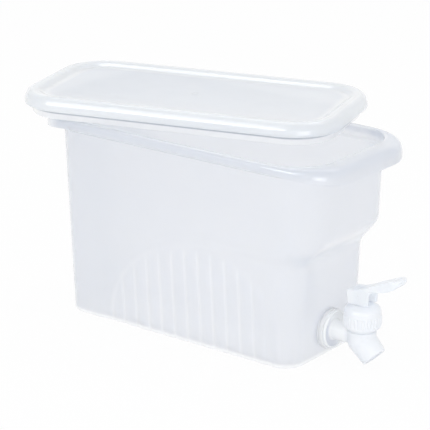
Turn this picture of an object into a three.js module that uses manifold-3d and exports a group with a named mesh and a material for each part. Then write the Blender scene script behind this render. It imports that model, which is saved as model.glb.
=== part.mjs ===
// A slim fridge water jug: a moulded tank, a loose lid lying askew on its rim, and a push tap at its foot.
// Millimetres, +Z up. The origin is the middle of the tank's underside and +X points to the tap.
import * as THREE from 'three';
import { mergeVertices } from 'three/addons/utils/BufferGeometryUtils.js';
import Module from 'manifold-3d';

const wasm = await Module();
wasm.setup();

const QUARTER = Math.PI / 2;
const FULL_TURN = 2 * Math.PI;
const degrees = (value) => THREE.MathUtils.degToRad(value);

// Clearances that every fit shares
const SEAT = 0.3; // between faces that bear on each other
const RUNNING = 0.3; // radial, round what turns or slides
const OVERRUN = 2; // how far a cutting tool passes the face that it cuts

// Tank
const TANK_HEIGHT = 165;
const FOOT_LENGTH = 221.4;
const FOOT_WIDTH = 99;
const FOOT_CORNER = 16;
const FOOT_FILLET = 1.6;
const WALL = 2;
const FLOOR = 2.4;
const END_DRAFT = degrees(2.35);
const SIDE_DRAFT = degrees(4.18);
const CORNER_GROWTH = 16; // added to the corner radius between foot and rim
const LEDGE_DEPTH = 14.5; // how far the front end's upper half stands out over the tap
const LEDGE_LOW = 81;
const LEDGE_HIGH = 99;

// Arched panel of upright flutes on both long sides
const ARCH_CENTRE_X = 35;
const ARCH_REAR_REACH = 105;
const ARCH_FRONT_REACH = 80;
const ARCH_HEIGHT = 88;
const ARCH_EDGE = 10; // width of the sloping edge round the recess
const PANEL_RECESS = 1.5;
const FLUTE_PITCH = 12.8;
const FLUTE_START_X = -76.6;
const FLUTE_COUNT = 13;
const FLUTE_DEPTH = 1;
const FLUTE_FADE = 10;

// Rim of the tank: a narrow flange on the long sides, a deep rolled lip to lift by at both ends
const SIDE_LIP_WIDTH = 6;
const SIDE_LIP_DEPTH = 6.4;
const END_LIP_WIDTH = 16.5;
const END_LIP_DEPTH = 13.4;
const LIP_THICK = 1.8;
const MOUTH_ROUND = 0.8;
const REBATE = 2.2; // the mouth is wider than the wall below by this, so that the lid's plug drops in
const REBATE_DEPTH = 7.8;
const REBATE_WALL = 1.3;

// Lid
const LID_OVERHANG = 5.9; // past the mouth, all round
const LID_CORNER = 39;
const LID_BEAD_HEIGHT = 10.8;
const LID_PLUG_DEPTH = 7.3;
const LID_PLUG_GAP = 0.5; // between the plug and the mouth when the lid is closed
const LID_THICK = 1.8;
const LID_BEAD_SLOPE = 4.8; // how far the bead's top leans in
const LID_PANEL_DROP = 3.4;
const LID_PANEL_INSET = 17;
const LID_BEAD_WIDTH = 11;
const LID_CENTRE_X = -28.5;
const LID_CENTRE_Y = 14.2;
const LID_YAW = degrees(16);

// Tap mounting
const TAP_AXIS_Z = 21.4; // height of the shank
const BOSS_RADIUS = 15.8;
const BOSS_PROUD = 0.4; // past the wall at the boss's top edge
const SHANK_RADIUS = 7.4;
const SHANK_BORE = 4.5;
const SHANK_REACH = 29.6; // from the boss's face to the tap's upright axis
const THREAD_DEPTH = 0.7;
const THREAD_PITCH = 2.6;
const THREAD_CRESTS = 9;
const FLANGE_RADIUS = 15;
const FLANGE_THICK = 2.2;
const OUTER_WASHER_RADIUS = 14.6;
const OUTER_WASHER_THICK = 3;
const INNER_WASHER_RADIUS = 13;
const INNER_WASHER_THICK = 2;
const NUT_FLATS = 26;
const NUT_HEIGHT = 7;
const NUT_COLLAR_RADIUS = 14;
const NUT_COLLAR_HEIGHT = 1.8;

// Tap body
const BARREL_RADIUS = 11.2;
const BARREL_RISE = 18.4; // from the shank's axis to the barrel's top
const CHAMBER_RADIUS = 7.6;
const ELBOW_DROP = 2.2; // from the shank's axis down to the bend
const SEAT_DROP = 5.6; // from the shank's axis down to the valve seat
const SEAT_PLATE = 1.5;
const SEAT_HOLE = 4;
const NOZZLE_TILT = degrees(45);
const NOZZLE_LENGTH = 16.7;
const NOZZLE_RADIUS = 9.9;
const NOZZLE_WALL = 2.2;

// Bonnet
const BONNET_RADIUS = 14.8; // over the grip ribs
const BONNET_LOW = 7.8; // all heights from the shank's axis
const BONNET_RIB_LOW = 11;
const BONNET_RIB_HIGH = 18.6;
const BONNET_SHOULDER = 23.4;
const BONNET_TOP = 27.1;
const BONNET_BORE = 11.9;
const BONNET_CEILING = 21.2;
const BONNET_RIBS = 32;
const BONNET_RIB_DEPTH = 0.8;
const NECK_RADIUS = 6.5;
const NECK_DROP = 2.9;
const GLAND_RADIUS = 4.9;
const GLAND_TOP = 24.2;
const SEAL_THICK = 2;

// Stem and what rides on it
const STEM_RADIUS = 2.5;
const STEM_LIFT = 2.5; // how far a full press opens the valve
const COLLAR_RADIUS = 6.2;
const COLLAR_LOW = 5.6;
const COLLAR_THICK = 2;
const STEM_TIP = -3.2;
const BARB_RADIUS = 3.2;
const BARB_LENGTH = 1.8;
const GROOVE_DEPTH = 0.5;
const EYE_RADIUS = 3.2;
const EYE_WIDTH = 9;
const PIVOT_RISE = 33.6; // the lever's pivot over the shank's axis
const PLUG_RADIUS = 5.6;
const PLUG_THICK = 4.4;
const PLUG_SKIN = 1.2;
const O_RING_WIRE = 1.1;
const O_RING_Z = 19.8;
const SPRING_WIRE = 0.45;
const SPRING_RADIUS = 5.55;
const SPRING_TURNS = 5;

// Lever
const LEVER_WIDTH = 15;
const LEVER_LEG = 2.4;
const LEVER_FOOT = 6.2; // from the pivot down to the leg's flat foot
const LEVER_REAR = 8.8; // from the pivot back to the leg's foot
const LEVER_BACK = 10.3; // the same at the hub's top, which leans out
const LEVER_REACH = 36.6; // from the pivot to the paddle's tip
const LEVER_TRAVEL = degrees(30);
const LEVER_WEB = 3.6; // from the pivot up to the web over the slot
const PIN_RADIUS = 1.5;
const PIN_INSET = 0.3;

// Fineness of round shapes
const CORNER_STEPS = 8;
const ROUND_STEPS = 36;
const SMALL_STEPS = 20;

// Places that follow from the sizes above
const CAM_RISE = STEM_LIFT / LEVER_TRAVEL;
const BOSS_TOP_Z = TAP_AXIS_Z + BOSS_RADIUS;
const BOSS_FACE_X = FOOT_LENGTH / 2 + Math.tan(END_DRAFT) * BOSS_TOP_Z + BOSS_PROUD;
const BOSS_FOOT_Z = TAP_AXIS_Z - BOSS_RADIUS;
const BOSS_BACK_X = FOOT_LENGTH / 2 + Math.tan(END_DRAFT) * BOSS_FOOT_Z - WALL - BOSS_PROUD;
const TAP_AXIS_X = BOSS_FACE_X + SHANK_REACH;
const SHANK_HOLE = SHANK_RADIUS + RUNNING;
const THREAD_LENGTH = THREAD_CRESTS * THREAD_PITCH;

const smooth = (share) => THREE.MathUtils.smoothstep(share, 0, 1);
const mix = THREE.MathUtils.lerp;

// Mesh helpers

/** Joins two rings of points, each with its place u round the ring, by a strip of triangles. */
function joinRings(index, lower, upper) {
  const next = (ring, k) => (k + 1 < ring.length ? ring[k + 1].u : ring[0].u + 1);
  let i = 0;
  let j = 0;
  while (i < lower.length || j < upper.length) {
    const a = lower[i % lower.length].at;
    const b = upper[j % upper.length].at;
    const stepLower = i < lower.length && (j >= upper.length || next(lower, i) <= next(upper, j));
    if (stepLower) {
      i += 1;
      index.push(a, lower[i % lower.length].at, b);
    } else {
      j += 1;
      index.push(a, upper[j % upper.length].at, b);
    }
  }
}

/** A closed skin over rings that run counter-clockwise, the first and last of them filled. */
function skin(rings) {
  const places = [];
  const index = [];
  const add = (x, y, z) => places.push(x, y, z) / 3 - 1;
  const numbered = rings.map((ring) => ring.map((p) => ({ u: p.u, at: add(p.x, p.y, p.z) })));
  for (let k = 1; k < numbered.length; k += 1) joinRings(index, numbered[k - 1], numbered[k]);
  const fill = (ring, points, turn) => {
    const middle = new THREE.Vector3();
    for (const p of points) middle.add(new THREE.Vector3(p.x, p.y, p.z).divideScalar(points.length));
    const centre = add(middle.x, middle.y, middle.z);
    ring.forEach((p, k) => {
      const q = ring[(k + 1) % ring.length];
      index.push(centre, ...(turn ? [q.at, p.at] : [p.at, q.at]));
    });
  };
  fill(numbered[0], rings[0], true);
  fill(numbered.at(-1), rings.at(-1), false);
  const geometry = new THREE.BufferGeometry();
  geometry.setAttribute('position', new THREE.Float32BufferAttribute(places, 3));
  geometry.setIndex(index);
  return geometry;
}

/** A ring of points on a circle about the Z axis. */
function circle(radius, z, steps = ROUND_STEPS) {
  return Array.from({ length: steps }, (_, k) => {
    const angle = (k / steps) * FULL_TURN;
    return { x: radius * Math.cos(angle), y: radius * Math.sin(angle), z, u: k / steps };
  });
}

/** A body turned about Z from pairs of radius and height, on the axis at both ends or closed on itself. */
function turned(profile, steps = ROUND_STEPS) {
  const points = profile.map(([radius, z]) => new THREE.Vector2(radius, z));
  return new THREE.LatheGeometry(points, steps).rotateX(QUARTER);
}

/** A ring turned about Z with a square section. */
function washer(inner, outer, low, high, steps = ROUND_STEPS) {
  return turned([[inner, low], [outer, low], [outer, high], [inner, high], [inner, low]], steps);
}

/** A round bar along Z between two heights. */
function bar(radius, low, high, steps = ROUND_STEPS) {
  return turned([[0, low], [radius, low], [radius, high], [0, high]], steps);
}

/** A flat shape in X and Z, given as pairs, made thick along Y about y = 0. */
function plate(outline, width) {
  const shape = new THREE.Shape(outline.map(([x, z]) => new THREE.Vector2(x, z)));
  const geometry = new THREE.ExtrudeGeometry(shape, { depth: width, bevelEnabled: false });
  return geometry.translate(0, 0, -width / 2).rotateX(QUARTER);
}

function solidOf(geometry) {
  const bare = new THREE.BufferGeometry();
  bare.setAttribute('position', geometry.getAttribute('position').clone());
  if (geometry.index) bare.setIndex(geometry.index.clone());
  const merged = mergeVertices(bare);
  const mesh = new wasm.Mesh({
    numProp: 3,
    vertProperties: new Float32Array(merged.getAttribute('position').array),
    triVerts: new Uint32Array(merged.index.array),
  });
  return new wasm.Manifold(mesh);
}

function geometryOf(solid) {
  const { vertProperties, triVerts } = solid.getMesh();
  const indexed = new THREE.BufferGeometry();
  indexed.setAttribute('position', new THREE.BufferAttribute(vertProperties, 3));
  indexed.setIndex(new THREE.BufferAttribute(triVerts, 1));
  const geometry = indexed.toNonIndexed();
  geometry.computeVertexNormals();
  return geometry;
}

const joined = (first, ...rest) => rest.reduce((whole, part) => whole.add(solidOf(part)), first);
const cut = (first, ...tools) => tools.reduce((whole, tool) => whole.subtract(solidOf(tool)), first);

/** The same geometry laid along X, its +Z end to +X. */
const alongX = (geometry) => geometry.rotateY(QUARTER);
/** The same geometry laid along Y. */
const alongY = (geometry) => geometry.rotateX(QUARTER);

// Tank

/** A rounded rectangle counter-clockwise from above, with extra points on its long sides at given X. */
function outline({ rear, front, half, corner }, along, steps = CORNER_STEPS) {
  const points = [];
  const placeOnSide = (x) => (x + FOOT_LENGTH) / (2 * FOOT_LENGTH);
  const addCorner = (x, y, quarter) => {
    for (let k = 0; k <= steps; k += 1) {
      const angle = (quarter + k / steps) * QUARTER;
      const nx = Math.cos(angle);
      const ny = Math.sin(angle);
      const u = (2 * quarter + k / steps) / 8;
      points.push({ x: x + corner * nx, y: y + corner * ny, nx, ny, u });
    }
  };
  addCorner(front - corner, half - corner, 0);
  for (const x of [...along].reverse()) {
    points.push({ x, y: half, nx: 0, ny: 1, u: (2 - placeOnSide(x)) / 8 });
  }
  addCorner(rear + corner, half - corner, 1);
  addCorner(rear + corner, corner - half, 2);
  for (const x of along) {
    points.push({ x, y: -half, nx: 0, ny: -1, u: (5 + placeOnSide(x)) / 8 });
  }
  addCorner(front - corner, corner - half, 3);
  return points;
}

/** How far the ledge has come out at height z, from 0 to 1. */
const ledgeShare = (z) => smooth((z - LEDGE_LOW) / (LEDGE_HIGH - LEDGE_LOW));

/** The plain section of the tank at height z. */
function section(z, inset = 0) {
  const ends = Math.tan(END_DRAFT) * z;
  return {
    rear: -FOOT_LENGTH / 2 - ends + inset,
    front: FOOT_LENGTH / 2 + ends + LEDGE_DEPTH * ledgeShare(z) - inset,
    half: FOOT_WIDTH / 2 + Math.tan(SIDE_DRAFT) * z - inset,
    corner: FOOT_CORNER + CORNER_GROWTH * (z / TANK_HEIGHT) - inset,
  };
}

/** Depth inside an arch of the given height, in millimetres, at a place on a long side. */
function insideArch(x, z, height) {
  const reach = x < ARCH_CENTRE_X ? ARCH_REAR_REACH : ARCH_FRONT_REACH;
  return height * (1 - Math.hypot((x - ARCH_CENTRE_X) / reach, z / height));
}

/** Inward depth of the panel's recess; it runs on round the front corner under the ledge. */
function recess(x, z, ny) {
  const arch = x < ARCH_CENTRE_X ? insideArch(x, z, ARCH_HEIGHT) : ARCH_HEIGHT - z;
  return PANEL_RECESS * smooth(arch / ARCH_EDGE + 1 / 2) * ny * ny;
}

/** Outward swell of the flutes: sharp grooves one pitch apart, with rounded reeds between them. */
function flute(x, z, ny) {
  const fade = smooth(insideArch(x, z, ARCH_HEIGHT - ARCH_EDGE / 2) / FLUTE_FADE);
  const place = (x - FLUTE_START_X) / FLUTE_PITCH;
  return place < 0 ? 0 : FLUTE_DEPTH * Math.abs(Math.sin(place * Math.PI)) * fade * ny ** 4;
}

/** One ring of the tank's wall at height z; inset carries it to the inner face. */
function wallRing(z, along, inset = 0, fluted = false) {
  return outline(section(z, inset), along).map((p) => {
    const swell = fluted ? flute(p.x, z, p.ny) : 0;
    const move = swell - recess(p.x, z, p.ny);
    return { x: p.x + move * p.nx, y: p.y + move * p.ny, z, u: p.u };
  });
}

/** How much of the end lip a place has: none on the long sides, all of it on the ends. */
const lipShare = (p) => smooth(1 - Math.atan2(Math.abs(p.ny), Math.abs(p.nx)) / QUARTER);

/** A ring of the rim: shares of the lip's width outwards and of its depth down from the top. */
function rimRing(widthShare, depthShare, { out = 0, down = 0 } = {}) {
  return outline(section(TANK_HEIGHT), []).map((p) => {
    const share = lipShare(p);
    const move = mix(SIDE_LIP_WIDTH, END_LIP_WIDTH, share) * widthShare + out;
    const drop = mix(SIDE_LIP_DEPTH, END_LIP_DEPTH, share) * depthShare + down;
    return { x: p.x + move * p.nx, y: p.y + move * p.ny, z: TANK_HEIGHT - drop, u: p.u };
  });
}

function tankSkin() {
  const fluteThirds = Array.from({ length: 3 * FLUTE_COUNT }, (_, k) => k / 3);
  const flutePoints = fluteThirds.map((place) => FLUTE_START_X + place * FLUTE_PITCH);
  const archShares = [0.06, 0.14, 0.24, 0.36, 0.5, 0.66, 0.84, 1];
  const archPoints = archShares.map((share) => ARCH_CENTRE_X - ARCH_REAR_REACH * (1.1 - 1.1 * share));
  const lowShares = [0.1, 0.24, 0.38, 0.5, 0.6, 0.7, 0.78, 0.86, 0.94];
  const ledgeShares = [0, 1 / 6, 1 / 3, 1 / 2, 2 / 3, 5 / 6, 1];
  const ledgeHeights = ledgeShares.map((share) => mix(LEDGE_LOW, LEDGE_HIGH, share));
  const lowHeights = lowShares.map((share) => share * LEDGE_LOW);
  const filletDrop = FOOT_FILLET * (1 - Math.SQRT1_2);
  const footFlat = outline(section(0, FOOT_FILLET), flutePoints).map((p) => ({ ...p, z: 0 }));
  const mouthLine = REBATE - WALL;
  const rebateLine = mouthLine + REBATE_WALL;
  const rebateFoot = TANK_HEIGHT - REBATE_DEPTH - REBATE;
  const outer = [
    footFlat,
    wallRing(filletDrop, flutePoints, filletDrop, true),
    wallRing(FOOT_FILLET, flutePoints, 0, true),
    ...lowHeights.map((z) => wallRing(z, flutePoints, 0, true)),
    ...ledgeHeights.map((z) => wallRing(z, archPoints)),
    wallRing(rebateFoot, []),
    rimRing(0, 0, { out: rebateLine, down: REBATE_DEPTH }),
  ];
  const rim = [
    rimRing(0, 0, { out: rebateLine, down: LIP_THICK + MOUTH_ROUND }),
    rimRing(1 / 2, 1 / 10, { down: LIP_THICK }),
    rimRing(1, 1 / 3, { out: -LIP_THICK, down: LIP_THICK / 2 }),
    rimRing(1, 1, { out: -LIP_THICK / 2 }),
    rimRing(1, 1),
    rimRing(0.97, 1 / 2),
    rimRing(0.86, 1 / 5),
    rimRing(0.6, 0.04),
    rimRing(0.25, 0),
    rimRing(0, 0, { out: mouthLine + MOUTH_ROUND }),
    rimRing(0, 0, { out: mouthLine, down: MOUTH_ROUND }),
    rimRing(0, 0, { out: mouthLine, down: REBATE_DEPTH }),
  ];
  const inner = [
    wallRing(rebateFoot, [], WALL),
    ...[...ledgeHeights].reverse().map((z) => wallRing(z + WALL / 2, archPoints, WALL)),
    ...[...lowHeights].reverse().map((z) => wallRing(z + WALL / 2, archPoints, WALL)).slice(0, -1),
    wallRing(FLOOR + FOOT_FILLET, archPoints, WALL),
    wallRing(FLOOR, archPoints, WALL + FOOT_FILLET / 2),
  ];
  return skin([...outer, ...rim, ...inner]);
}

function tank() {
  const boss = alongX(bar(BOSS_RADIUS, BOSS_BACK_X, BOSS_FACE_X)).translate(0, 0, TAP_AXIS_Z);
  const hole = bar(SHANK_HOLE, BOSS_BACK_X - OVERRUN, BOSS_FACE_X + OVERRUN);
  alongX(hole).translate(0, 0, TAP_AXIS_Z);
  return geometryOf(cut(joined(solidOf(tankSkin()), boss), hole));
}

// Lid, from the flat underside of its plug up

const MOUTH = section(TANK_HEIGHT, WALL - REBATE);
const LID_LENGTH = MOUTH.front - MOUTH.rear + 2 * LID_OVERHANG;
const LID_WIDTH = 2 * MOUTH.half + 2 * LID_OVERHANG;

function lidRing(inset, z) {
  const shape = {
    rear: inset - LID_LENGTH / 2,
    front: LID_LENGTH / 2 - inset,
    half: LID_WIDTH / 2 - inset,
    corner: Math.max(LID_CORNER - inset, LID_CORNER / 4),
  };
  return outline(shape, []).map((p) => ({ ...p, z }));
}

function lid() {
  const plug = LID_OVERHANG + LID_PLUG_GAP;
  const beadLow = LID_PLUG_DEPTH;
  const top = beadLow + LID_BEAD_HEIGHT;
  const panelTop = top - LID_PANEL_DROP;
  const ceiling = top - LID_THICK;
  return skin([
    lidRing(LID_PANEL_INSET + LID_THICK, panelTop - LID_THICK),
    lidRing(LID_BEAD_WIDTH, ceiling - LID_THICK),
    lidRing(plug + LID_THICK, ceiling - LID_THICK),
    lidRing(plug + LID_THICK, 0),
    lidRing(plug, 0),
    lidRing(plug, ceiling - LID_THICK / 2),
    lidRing(LID_BEAD_SLOPE, ceiling - LID_THICK / 2),
    lidRing(LID_THICK + LID_BEAD_SLOPE / 4, beadLow + LID_BEAD_HEIGHT / 2),
    lidRing(LID_THICK, beadLow),
    lidRing(LID_THICK / 4, beadLow),
    lidRing(0, beadLow + LID_BEAD_HEIGHT / 6),
    lidRing(LID_BEAD_SLOPE / 8, beadLow + LID_BEAD_HEIGHT / 2),
    lidRing(LID_BEAD_SLOPE / 2, beadLow + (LID_BEAD_HEIGHT * 5) / 6),
    lidRing(LID_BEAD_SLOPE, top - LID_THICK / 6),
    lidRing(LID_BEAD_SLOPE + LID_THICK, top),
    lidRing(LID_BEAD_WIDTH, top - LID_PANEL_DROP / 4),
    lidRing(LID_PANEL_INSET - LID_THICK, panelTop + LID_PANEL_DROP / 8),
    lidRing(LID_PANEL_INSET, panelTop),
  ]);
}

// Tap: every piece is drawn about the upright axis, with z = 0 at the shank's axis

/** X of a face on the shank, counted from the boss's face outwards. */
const fromBoss = (distance) => distance - SHANK_REACH;

function tapBody() {
  const flangeX = fromBoss(2 * SEAT + OUTER_WASHER_THICK);
  const shankEnd = flangeX - THREAD_LENGTH;
  const elbow = [0, 0, -ELBOW_DROP];
  const shank = alongX(bar(SHANK_RADIUS, flangeX, 0));
  const flange = alongX(bar(FLANGE_RADIUS, flangeX, flangeX + FLANGE_THICK));
  const thread = [[0, shankEnd]];
  for (let k = 0; k < THREAD_CRESTS; k += 1) {
    const foot = shankEnd + k * THREAD_PITCH;
    thread.push([SHANK_RADIUS - THREAD_DEPTH, foot]);
    thread.push([SHANK_RADIUS, foot + THREAD_PITCH / 3]);
    thread.push([SHANK_RADIUS, foot + THREAD_PITCH / 2]);
  }
  thread.push([SHANK_RADIUS - THREAD_DEPTH, flangeX], [0, flangeX + FLANGE_THICK]);
  const barrel = bar(BARREL_RADIUS, -ELBOW_DROP, BARREL_RISE);
  const bend = new THREE.SphereGeometry(BARREL_RADIUS, ROUND_STEPS, ROUND_STEPS / 2)
    .rotateX(QUARTER).translate(...elbow);
  const slant = (geometry) => geometry.rotateY(Math.PI - NOZZLE_TILT).translate(...elbow);
  const spout = [[0, 0], [BARREL_RADIUS, 0], [NOZZLE_RADIUS, NOZZLE_LENGTH], [0, NOZZLE_LENGTH]];
  const nozzle = slant(turned(spout));
  const outside = joined(solidOf(barrel), bend, nozzle, shank, flange, alongX(turned(thread, SMALL_STEPS)));

  const chamber = bar(CHAMBER_RADIUS, -SEAT_DROP, BARREL_RISE + OVERRUN);
  const seatHole = bar(SEAT_HOLE, -SEAT_DROP - SEAT_PLATE - OVERRUN, 0, SMALL_STEPS);
  const shankBore = alongX(bar(SHANK_BORE, shankEnd - OVERRUN, 0, SMALL_STEPS));
  const nozzleBore = solidOf(slant(bar(NOZZLE_RADIUS - NOZZLE_WALL, 0, NOZZLE_LENGTH + OVERRUN)));
  const aboveSeat = new THREE.BoxGeometry(4 * BARREL_RADIUS, 4 * BARREL_RADIUS, 4 * BARREL_RADIUS)
    .translate(0, 0, 2 * BARREL_RADIUS - SEAT_DROP - SEAT_PLATE);
  const outlet = nozzleBore.subtract(solidOf(aboveSeat));
  return geometryOf(cut(outside, chamber, seatHole, shankBore).subtract(outlet));
}

function outerWasher() {
  const low = fromBoss(SEAT);
  return alongX(washer(SHANK_HOLE, OUTER_WASHER_RADIUS, low, low + OUTER_WASHER_THICK));
}

function innerWasher() {
  const high = fromBoss(BOSS_BACK_X - BOSS_FACE_X - SEAT);
  return alongX(washer(SHANK_HOLE, INNER_WASHER_RADIUS, high - INNER_WASHER_THICK, high));
}

function lockNut() {
  const high = fromBoss(BOSS_BACK_X - BOSS_FACE_X - 2 * SEAT - INNER_WASHER_THICK);
  const hexagon = bar(NUT_FLATS / 2 / Math.cos(Math.PI / 6), high - NUT_HEIGHT, high, 6);
  const collar = bar(NUT_COLLAR_RADIUS, high - NUT_COLLAR_HEIGHT, high);
  const bore = bar(SHANK_HOLE, high - NUT_HEIGHT - OVERRUN, high + OVERRUN, SMALL_STEPS);
  return geometryOf(cut(joined(solidOf(alongX(hexagon)), alongX(collar)), alongX(bore)));
}

/** A ring of grip ribs: twice as many points as ribs, every second one set in. */
function ribRing(z) {
  return circle(BONNET_RADIUS, z, 2 * BONNET_RIBS).map((p, k) => {
    const share = k % 2 ? 1 - BONNET_RIB_DEPTH / BONNET_RADIUS : 1;
    return { ...p, x: p.x * share, y: p.y * share };
  });
}

function bonnet() {
  const band = BONNET_RADIUS - BONNET_RIB_DEPTH / 2;
  const bevel = BONNET_RIB_DEPTH;
  const crown = (BONNET_TOP - BONNET_SHOULDER) / 3;
  const cup = skin([
    circle(band - 2 * bevel, BONNET_LOW),
    circle(band, BONNET_LOW + 2 * bevel),
    circle(band, BONNET_RIB_LOW - bevel / 2),
    ribRing(BONNET_RIB_LOW),
    ribRing(BONNET_RIB_HIGH),
    circle(band, BONNET_RIB_HIGH + bevel / 2),
    circle(band - bevel / 2, BONNET_SHOULDER - bevel),
    circle(band - 2 * bevel, BONNET_SHOULDER + crown),
    circle(band - 5 * bevel, BONNET_SHOULDER + 2 * crown),
    circle(band - 8 * bevel, BONNET_TOP),
  ]);
  const bore = bar(BONNET_BORE, BONNET_LOW - OVERRUN, BONNET_CEILING);
  const neck = bar(NECK_RADIUS, BONNET_CEILING - NECK_DROP, BONNET_CEILING + SEAT);
  const gland = bar(GLAND_RADIUS, BONNET_CEILING - NECK_DROP - OVERRUN, GLAND_TOP, SMALL_STEPS);
  const stemHole = bar(STEM_RADIUS + RUNNING, GLAND_TOP - OVERRUN, BONNET_TOP + OVERRUN, SMALL_STEPS);
  return geometryOf(cut(joined(cut(solidOf(cup), bore), neck), gland, stemHole));
}

function bonnetSeal() {
  const low = BARREL_RISE + SEAT;
  return washer(CHAMBER_RADIUS, BARREL_RADIUS, low, low + SEAL_THICK);
}

function valveStem() {
  const grooveLow = O_RING_Z - O_RING_WIRE;
  const grooveHigh = O_RING_Z + O_RING_WIRE;
  const rod = turned([
    [0, STEM_TIP],
    [BARB_RADIUS, STEM_TIP],
    [BARB_RADIUS, STEM_TIP + BARB_LENGTH],
    [STEM_RADIUS, STEM_TIP + BARB_LENGTH],
    [STEM_RADIUS, COLLAR_LOW],
    [COLLAR_RADIUS, COLLAR_LOW],
    [COLLAR_RADIUS, COLLAR_LOW + COLLAR_THICK],
    [STEM_RADIUS, COLLAR_LOW + COLLAR_THICK],
    [STEM_RADIUS, grooveLow],
    [STEM_RADIUS - GROOVE_DEPTH, grooveLow],
    [STEM_RADIUS - GROOVE_DEPTH, grooveHigh],
    [STEM_RADIUS, grooveHigh],
    [STEM_RADIUS, PIVOT_RISE],
    [0, PIVOT_RISE],
  ], SMALL_STEPS);
  const eye = alongY(bar(EYE_RADIUS, -EYE_WIDTH / 2, EYE_WIDTH / 2)).translate(0, 0, PIVOT_RISE);
  const pinHole = alongY(bar(PIN_RADIUS + SEAT, -LEVER_WIDTH, LEVER_WIDTH, SMALL_STEPS));
  return geometryOf(cut(joined(solidOf(rod), eye), pinHole.translate(0, 0, PIVOT_RISE)));
}

function valvePlug() {
  const low = SEAT - SEAT_DROP;
  const rod = STEM_RADIUS + SEAT;
  const barb = BARB_RADIUS + SEAT;
  return turned([
    [0, low],
    [PLUG_RADIUS - PLUG_SKIN / 2, low],
    [PLUG_RADIUS, low + PLUG_SKIN / 2],
    [PLUG_RADIUS, low + PLUG_THICK - PLUG_SKIN],
    [PLUG_RADIUS - PLUG_SKIN, low + PLUG_THICK],
    [rod, low + PLUG_THICK],
    [rod, STEM_TIP + BARB_LENGTH + SEAT],
    [barb, STEM_TIP + BARB_LENGTH + SEAT],
    [barb, STEM_TIP - SEAT],
    [0, STEM_TIP - SEAT],
  ], SMALL_STEPS);
}

function stemORing() {
  const middle = STEM_RADIUS - GROOVE_DEPTH + SEAT + O_RING_WIRE;
  return new THREE.TorusGeometry(middle, O_RING_WIRE, 8, SMALL_STEPS).translate(0, 0, O_RING_Z);
}

/** A closed helix: rings of wire about a centre line that climbs from the collar to the bonnet's neck. */
function stemSpring() {
  const low = COLLAR_LOW + COLLAR_THICK + SEAT + SPRING_WIRE;
  const high = BONNET_CEILING - NECK_DROP - SEAT - SPRING_WIRE;
  const stepsPerTurn = 12;
  const sides = 5;
  const rings = [];
  for (let k = 0; k <= SPRING_TURNS * stepsPerTurn; k += 1) {
    const share = k / (SPRING_TURNS * stepsPerTurn);
    const angle = share * SPRING_TURNS * FULL_TURN;
    const outwards = new THREE.Vector3(Math.cos(angle), Math.sin(angle), 0);
    const middle = outwards.clone().multiplyScalar(SPRING_RADIUS);
    middle.z = mix(low, high, share);
    rings.push(Array.from({ length: sides }, (_, side) => {
      const turn = (-side / sides) * FULL_TURN;
      const place = middle.clone().addScaledVector(outwards, SPRING_WIRE * Math.cos(turn));
      place.z += SPRING_WIRE * Math.sin(turn);
      return { x: place.x, y: place.y, z: place.z, u: side / sides };
    }));
  }
  return skin(rings);
}

/** Places on the lever's side view from shares of its reach, counted from the pivot. */
const leverPlaces = (shares) => shares.map(([x, z]) => [x * LEVER_REACH, z * LEVER_REACH]);

/** The lever's side view about its pivot. Its foot is an involute, so it lifts the stem evenly. */
function leverOutline() {
  const camSteps = 5;
  const foot = Array.from({ length: camSteps + 1 }, (_, k) => {
    const angle = (k / camSteps) * LEVER_TRAVEL;
    const reach = LEVER_FOOT + CAM_RISE * angle;
    const x = reach * Math.sin(angle) + CAM_RISE * Math.cos(angle);
    const z = -reach * Math.cos(angle) + CAM_RISE * Math.sin(angle);
    return [x, z];
  });
  const frontShares = [
    [0.246, 0.126], [0.268, 0.178], [0.388, 0.194], [0.533, 0.219], [0.642, 0.246],
    [0.74, 0.287], [0.861, 0.358], [0.937, 0.432], [0.989, 0.505], [1, 0.538],
  ];
  const topShares = [
    [0.973, 0.56], [0.874, 0.544], [0.751, 0.505], [0.579, 0.426],
    [0.369, 0.339], [0.178, 0.243], [-0.055, 0.155],
  ];
  return [
    [-LEVER_REAR, -LEVER_FOOT],
    ...foot,
    ...leverPlaces(frontShares),
    ...leverPlaces(topShares),
    [-LEVER_BACK + LEVER_LEG / 2, LEVER_WEB + LEVER_LEG / 2],
    [-LEVER_BACK, LEVER_WEB + LEVER_LEG / 8],
  ];
}

function lever() {
  const side = solidOf(plate(leverOutline(), LEVER_WIDTH));
  const halfWidth = LEVER_WIDTH / 2;
  const plan = new THREE.Shape();
  plan.moveTo(-LEVER_BACK - OVERRUN, -halfWidth);
  plan.lineTo(LEVER_REACH - halfWidth, -halfWidth);
  plan.absarc(LEVER_REACH - halfWidth, 0, halfWidth, -QUARTER, QUARTER, false);
  plan.lineTo(-LEVER_BACK - OVERRUN, halfWidth);
  const height = 2 * LEVER_REACH;
  const settings = { depth: height, bevelEnabled: false, curveSegments: CORNER_STEPS };
  const planBlock = new THREE.ExtrudeGeometry(plan, settings).translate(0, 0, -height / 2);
  const slotWidth = LEVER_WIDTH - 2 * LEVER_LEG;
  const slotHeight = LEVER_WEB + LEVER_FOOT + OVERRUN;
  const slot = new THREE.BoxGeometry(4 * LEVER_REAR, slotWidth, slotHeight)
    .translate(0, 0, LEVER_WEB - slotHeight / 2);
  const hollowShares = [
    [0.31, 0], [0.86, 0], [0.86, 0.474], [0.751, 0.442], [0.579, 0.363], [0.31, 0.247],
  ];
  const hollow = plate(leverPlaces(hollowShares), slotWidth);
  const pinHole = alongY(bar(PIN_RADIUS + RUNNING, -LEVER_WIDTH, LEVER_WIDTH, SMALL_STEPS));
  return geometryOf(cut(side.intersect(solidOf(planBlock)), slot, hollow, pinHole));
}

function leverPin() {
  const half = LEVER_WIDTH / 2 - PIN_INSET;
  return alongY(bar(PIN_RADIUS, -half, half, SMALL_STEPS));
}

// Materials

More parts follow.
